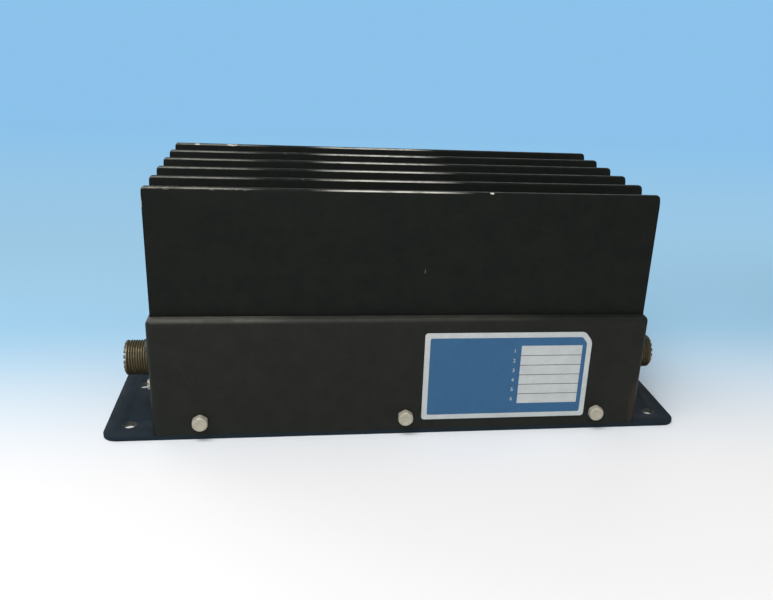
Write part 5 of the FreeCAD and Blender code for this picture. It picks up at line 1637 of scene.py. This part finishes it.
def bent_lead(start: Vector, way: Vector, run: float, rise: float, radius: float, bend: float) -> Blank:
    """Pull a wire out of a part and bend it up.

    Args:
        start: Where it leaves the part.
        way: The level way out.
        run: How far out its upright stretch stands.
        rise: How far up it reaches.
        radius: The wire's radius.
        bend: The bend's radius.

    Returns:
        The lead.
    """
    wire = Blank.hoop("lead", start, way, radius, 12)
    corner = start + way * (run - bend) + Z * bend
    with wire.edit(Pick.EDGES):
        bpy.ops.mesh.extrude_region_move(TRANSFORM_OT_translate={"value": way * (run - bend)})
        bpy.ops.mesh.spin(steps=5, angle=math.pi / 2, center=corner, axis=Z.cross(way))
        bpy.ops.mesh.extrude_region_move(TRANSFORM_OT_translate={"value": Z * (rise - bend)})
    wire.close()
    wire.dress(TIN)
    return wire


@dataclass
class AxialParts:
    """Round parts that lie under the board, each on two wire leads bent up to it."""

    node: str
    finish: Finish
    radius: float
    length: float
    profile: tuple[tuple[float, float], ...]
    bands: tuple[tuple[float, float, Finish], ...] = ()
    lead: float = 0.4 * MM
    run: float = 1.2 * MM
    bend: float = 0.7 * MM

    def build(self) -> None:
        """Model a part in each place of the CAD node's solids."""
        parts = [self.one(box) for box in solids(self.node)]
        Blank.assembled(self.node + "_detailed", parts).hand_over(self.node)

    def one(self, box: Box) -> Blank:
        """Model one part.

        Args:
            box: The box that it fills, leads included.

        Returns:
            The part on its two leads.
        """
        low, high = box
        axis = X if high.x - low.x > high.y - low.y else Y
        heart = Vector((centre(box).x, centre(box).y, low.z + self.radius))
        start = heart - axis * (self.length / 2)
        body = Blank.turned("body", start, axis, [
            (share * self.length, width * self.radius) for share, width in self.profile
        ], 28)
        body.smooth()
        body.dress(self.finish)
        for band_from, band_to, finish in self.bands:
            limits = (band_from * self.length, band_to * self.length)
            body.dress(finish, lambda face, limits=limits: limits[0] < (face.center - start).dot(axis) < limits[1])
        tips = [
            bent_lead(heart + axis * side * (self.length / 2), axis * side, self.run, high.z - heart.z, self.lead,
                      self.bend)
            for side in (-1, 1)
        ]
        return body.joined(*tips)


@dataclass
class DiscCapacitors:
    """Dipped ceramic discs that stand off the board on two leads."""

    node: str = "disc_capacitors"
    radius: float = 3.5 * MM
    thickness: float = 2.0 * MM
    lead: float = 0.35 * MM
    spacing: float = 4.0 * MM
    profile: tuple[tuple[float, float], ...] = (
        (0.0, 0.35), (0.06, 0.7), (0.2, 0.9), (0.38, 0.98), (0.5, 1.0), (0.62, 0.98), (0.8, 0.9), (0.94, 0.7),
        (1.0, 0.35))

    def build(self) -> None:
        """Model a disc with its leads in each place."""
        parts = [self.one(box) for box in solids(self.node)]
        Blank.assembled(self.node + "_dipped", parts).hand_over(self.node)

    def one(self, box: Box) -> Blank:
        """Model one disc.

        Args:
            box: The box that it fills, leads included.

        Returns:
            The disc on its two leads.
        """
        low, high = box
        heart = Vector(((low.x + high.x) / 2, (low.y + high.y) / 2, low.z + self.radius))
        disc = Blank.turned("disc", heart - X * (self.thickness / 2), X, [
            (share * self.thickness, width * self.radius) for share, width in self.profile], 40)
        disc.smooth(60.0)
        disc.dress(TAN)
        rise = high.z - heart.z
        for side in (-1, 1):
            foot = heart + Y * side * (self.spacing / 2)
            neck = Blank.turned("neck", foot, Z, [
                (0.0, 2.2 * self.lead), (0.8 * self.radius, 2.0 * self.lead), (1.12 * self.radius, self.lead),
            ], 16)
            lead = Blank.turned("lead", foot, Z, [(along, self.lead) for along in (0.0, 0.5 * rise, rise)], 12)
            for part, finish in ((neck, TAN), (lead, TIN)):
                part.smooth()
                part.dress(finish)
            disc.joined(neck, lead)
        return disc


@dataclass
class RelayCoil:
    """Winding of fine wire between the flanges of a moulded bobbin."""

    node: str = "relay_coil"
    bore: float = 2.1 * MM
    flange: float = 0.8 * MM
    turns: int = 24
    depth: float = 0.5 * MM

    def build(self) -> None:
        """Turn the bobbin and its wire in one profile."""
        low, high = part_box(self.node)
        radius, span = (high.x - low.x) / 2, high.z - low.z
        start = Vector((centre((low, high)).x, centre((low, high)).y, low.z))
        wire = (span - 2 * self.flange) / self.turns
        wound = radius - self.depth
        profile = [(0.0, self.bore), (0.0, radius - 0.1 * MM), (0.1 * MM, radius),
                   (self.flange - 0.1 * MM, radius), (self.flange, radius - 0.1 * MM),
                   (self.flange, wound - wire / 2)]
        for turn in range(self.turns):
            along = self.flange + turn * wire
            profile += [(along + 0.2 * wire, wound - 0.12 * wire), (along + 0.5 * wire, wound),
                        (along + 0.8 * wire, wound - 0.12 * wire), (along + wire, wound - wire / 2)]
        profile += [(span - self.flange, radius - 0.1 * MM), (span - self.flange + 0.1 * MM, radius),
                    (span - 0.1 * MM, radius), (span, radius - 0.1 * MM), (span, self.bore), (0.0, self.bore)]
        piece = Blank.turned("relay_coil_wound", start, Z, profile, 36)
        piece.smooth(40.0)
        piece.dress(PHENOLIC)
        piece.dress(COPPER, lambda face: low.z + self.flange < face.center.z < high.z - self.flange
                    and (face.center.xy - start.xy).length > wound - wire)
        piece.hand_over(self.node)


@dataclass
class TrimmerRotor:
    """Ceramic rotor of one trimmer, half its face silvered, with a driver slot."""

    number: int
    radius: float = 5.0 * MM
    disc: float = 2.0 * MM
    hub: float = 1.0 * MM
    slot_width: float = 1.0 * MM
    slot_depth: float = 0.8 * MM
    boss: float = 2.4 * MM

    def build(self) -> None:
        """Turn the disc and hub, cut the slot and silver one half."""
        node = f"trimmer_rotor_{self.number}"
        low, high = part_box(node)
        start = Vector((centre((low, high)).x, centre((low, high)).y, low.z))
        piece = Blank.turned(node + "_silvered", start, Z, [
            (0.0, self.boss), (0.25 * MM, self.boss), (0.25 * MM, self.radius - 0.3 * MM),
            (0.55 * MM, self.radius), (self.disc - 0.2 * MM, self.radius), (self.disc, self.radius - 0.2 * MM),
            (self.disc, self.hub), (high.z - low.z - 0.2 * MM, self.hub), (high.z - low.z, 0.8 * self.hub),
        ], 48)
        reach = Vector((self.radius * 1.2, self.slot_width / 2, 0.0))
        cutter = Blank.block("slot", start - reach - Z * OVERSHOOT, start + reach + Z * self.slot_depth)
        piece.work(Cut.AWAY, cutter)
        piece.bisect((0.0, start.y, 0.0), Y)
        piece.smooth()
        piece.dress(CERAMIC)
        piece.dress(SILVER, lambda face: face.normal.z < -0.9 and face.center.y > start.y
                    and face.center.z < low.z + 0.5 * MM
                    and (face.center.xy - start.xy).length > 0.4 * self.boss)
        piece.hand_over(node, f"trimmer_{self.number}")


RESISTOR_PROFILE = (
    (0.0, 0.4), (0.02, 0.82), (0.06, 1.0), (0.19, 1.0), (0.24, 0.86), (0.30, 0.86), (0.36, 0.86), (0.42, 0.86),
    (0.48, 0.86), (0.54, 0.86), (0.60, 0.86), (0.70, 0.86), (0.75, 0.86), (0.81, 1.0), (0.94, 1.0), (0.98, 0.82),
    (1.0, 0.4),
)
CAN_PROFILE = (
    (0.0, 0.3), (0.0, 0.84), (0.015, 0.95), (0.04, 1.0), (0.10, 1.0), (0.115, 0.93), (0.13, 0.90), (0.145, 0.93),
    (0.16, 1.0), (0.5, 1.0), (0.96, 1.0), (0.985, 0.95), (1.0, 0.86), (1.0, 0.3),
)
BEAD_PROFILE = (
    (0.0, 0.3), (0.0, 0.9), (0.03, 1.0), (0.46, 1.0), (0.485, 0.93), (0.5, 0.8), (0.515, 0.93), (0.54, 1.0),
    (0.97, 1.0), (1.0, 0.9), (1.0, 0.3),
)
EASED: dict[Finish, tuple[str, ...]] = {
    PLATE_PAINT: ("front_cover_rail", "rear_cover_rail"),
    SILVER: ("board_spacers", "input_transformer_tubes", "output_transformer_tubes", "relay_contact_fork"),
    FIBRE: ("transformer_end_plates",),
    CERAMIC: ("transistor_caps", "trimmer_bases"),
    GOLD: ("transistor_flanges", "transistor_leads"),
    FERRITE: ("input_transformer_sleeves", "output_transformer_sleeves"),
    TAN: ("clad_capacitors",),
    MOULDED: ("bias_transistor",),
    PHENOLIC: ("relay_base",),
    IRON: ("relay_core", "relay_hinge_pin", "relay_yoke"),
}


def main() -> None:
    """Build the studio and every piece in turn."""
    Stage().build()
    socket_height = centre(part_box("input_socket_contact")).z
    pieces = [
        HeatSink(), CaseShell(), BasePlate(), HexScrews("front_cover_screws"), HexScrews("rear_cover_screws"),
        Nameplate(), CoaxSocket(End.INPUT), CoaxSocket(End.OUTPUT), TerminalBlock(),
        SlottedScrews("input_socket_screws", -X, 1.4 * MM, dark_above=socket_height),
        SlottedScrews("output_socket_screws", X, 1.4 * MM, dark_above=socket_height),
        SlottedScrews("terminal_screws", Y, 1.7 * MM), SlottedScrews("terminal_block_screws", Y, 1.4 * MM),
        SlottedScrews("heat_sink_screws", -Z, 2.0 * MM), SlottedScrews("board_screws", -Z, 1.5 * MM),
        SlottedScrews("transistor_screws", -Z, 1.5 * MM),
        Nuts("input_socket_nuts", X), Nuts("output_socket_nuts", X), Nuts("terminal_block_nuts", Y),
        AxialParts("resistors", TAN, 1.25 * MM, 6.5 * MM, RESISTOR_PROFILE,
                   ((0.30, 0.36, BAND_BROWN), (0.42, 0.48, MOULDED), (0.54, 0.60, BAND_RED), (0.70, 0.75, GOLD))),
        AxialParts("electrolytic_capacitor", CAN_SLEEVE, 5.0 * MM, 21.0 * MM, CAN_PROFILE,
                   ((-0.1, 0.03, IRON), (0.97, 1.1, IRON), (0.30, 0.34, WHITE_INK))),
        AxialParts("bead_chokes", FERRITE, 2.5 * MM, 12.0 * MM, BEAD_PROFILE),
        DiscCapacitors(), RelayCoil(), *(TrimmerRotor(number) for number in range(1, 5)),
        EasedNode("relay_armature", IRON, body="armature"),
        *(EasedNode(node, finish) for finish, nodes in EASED.items() for node in nodes),
    ]
    for piece in pieces:
        piece.build()
    finish_kept_nodes()


if __name__ == "__main__":
    logging.basicConfig(level=logging.INFO, format="%(message)s")
    main()
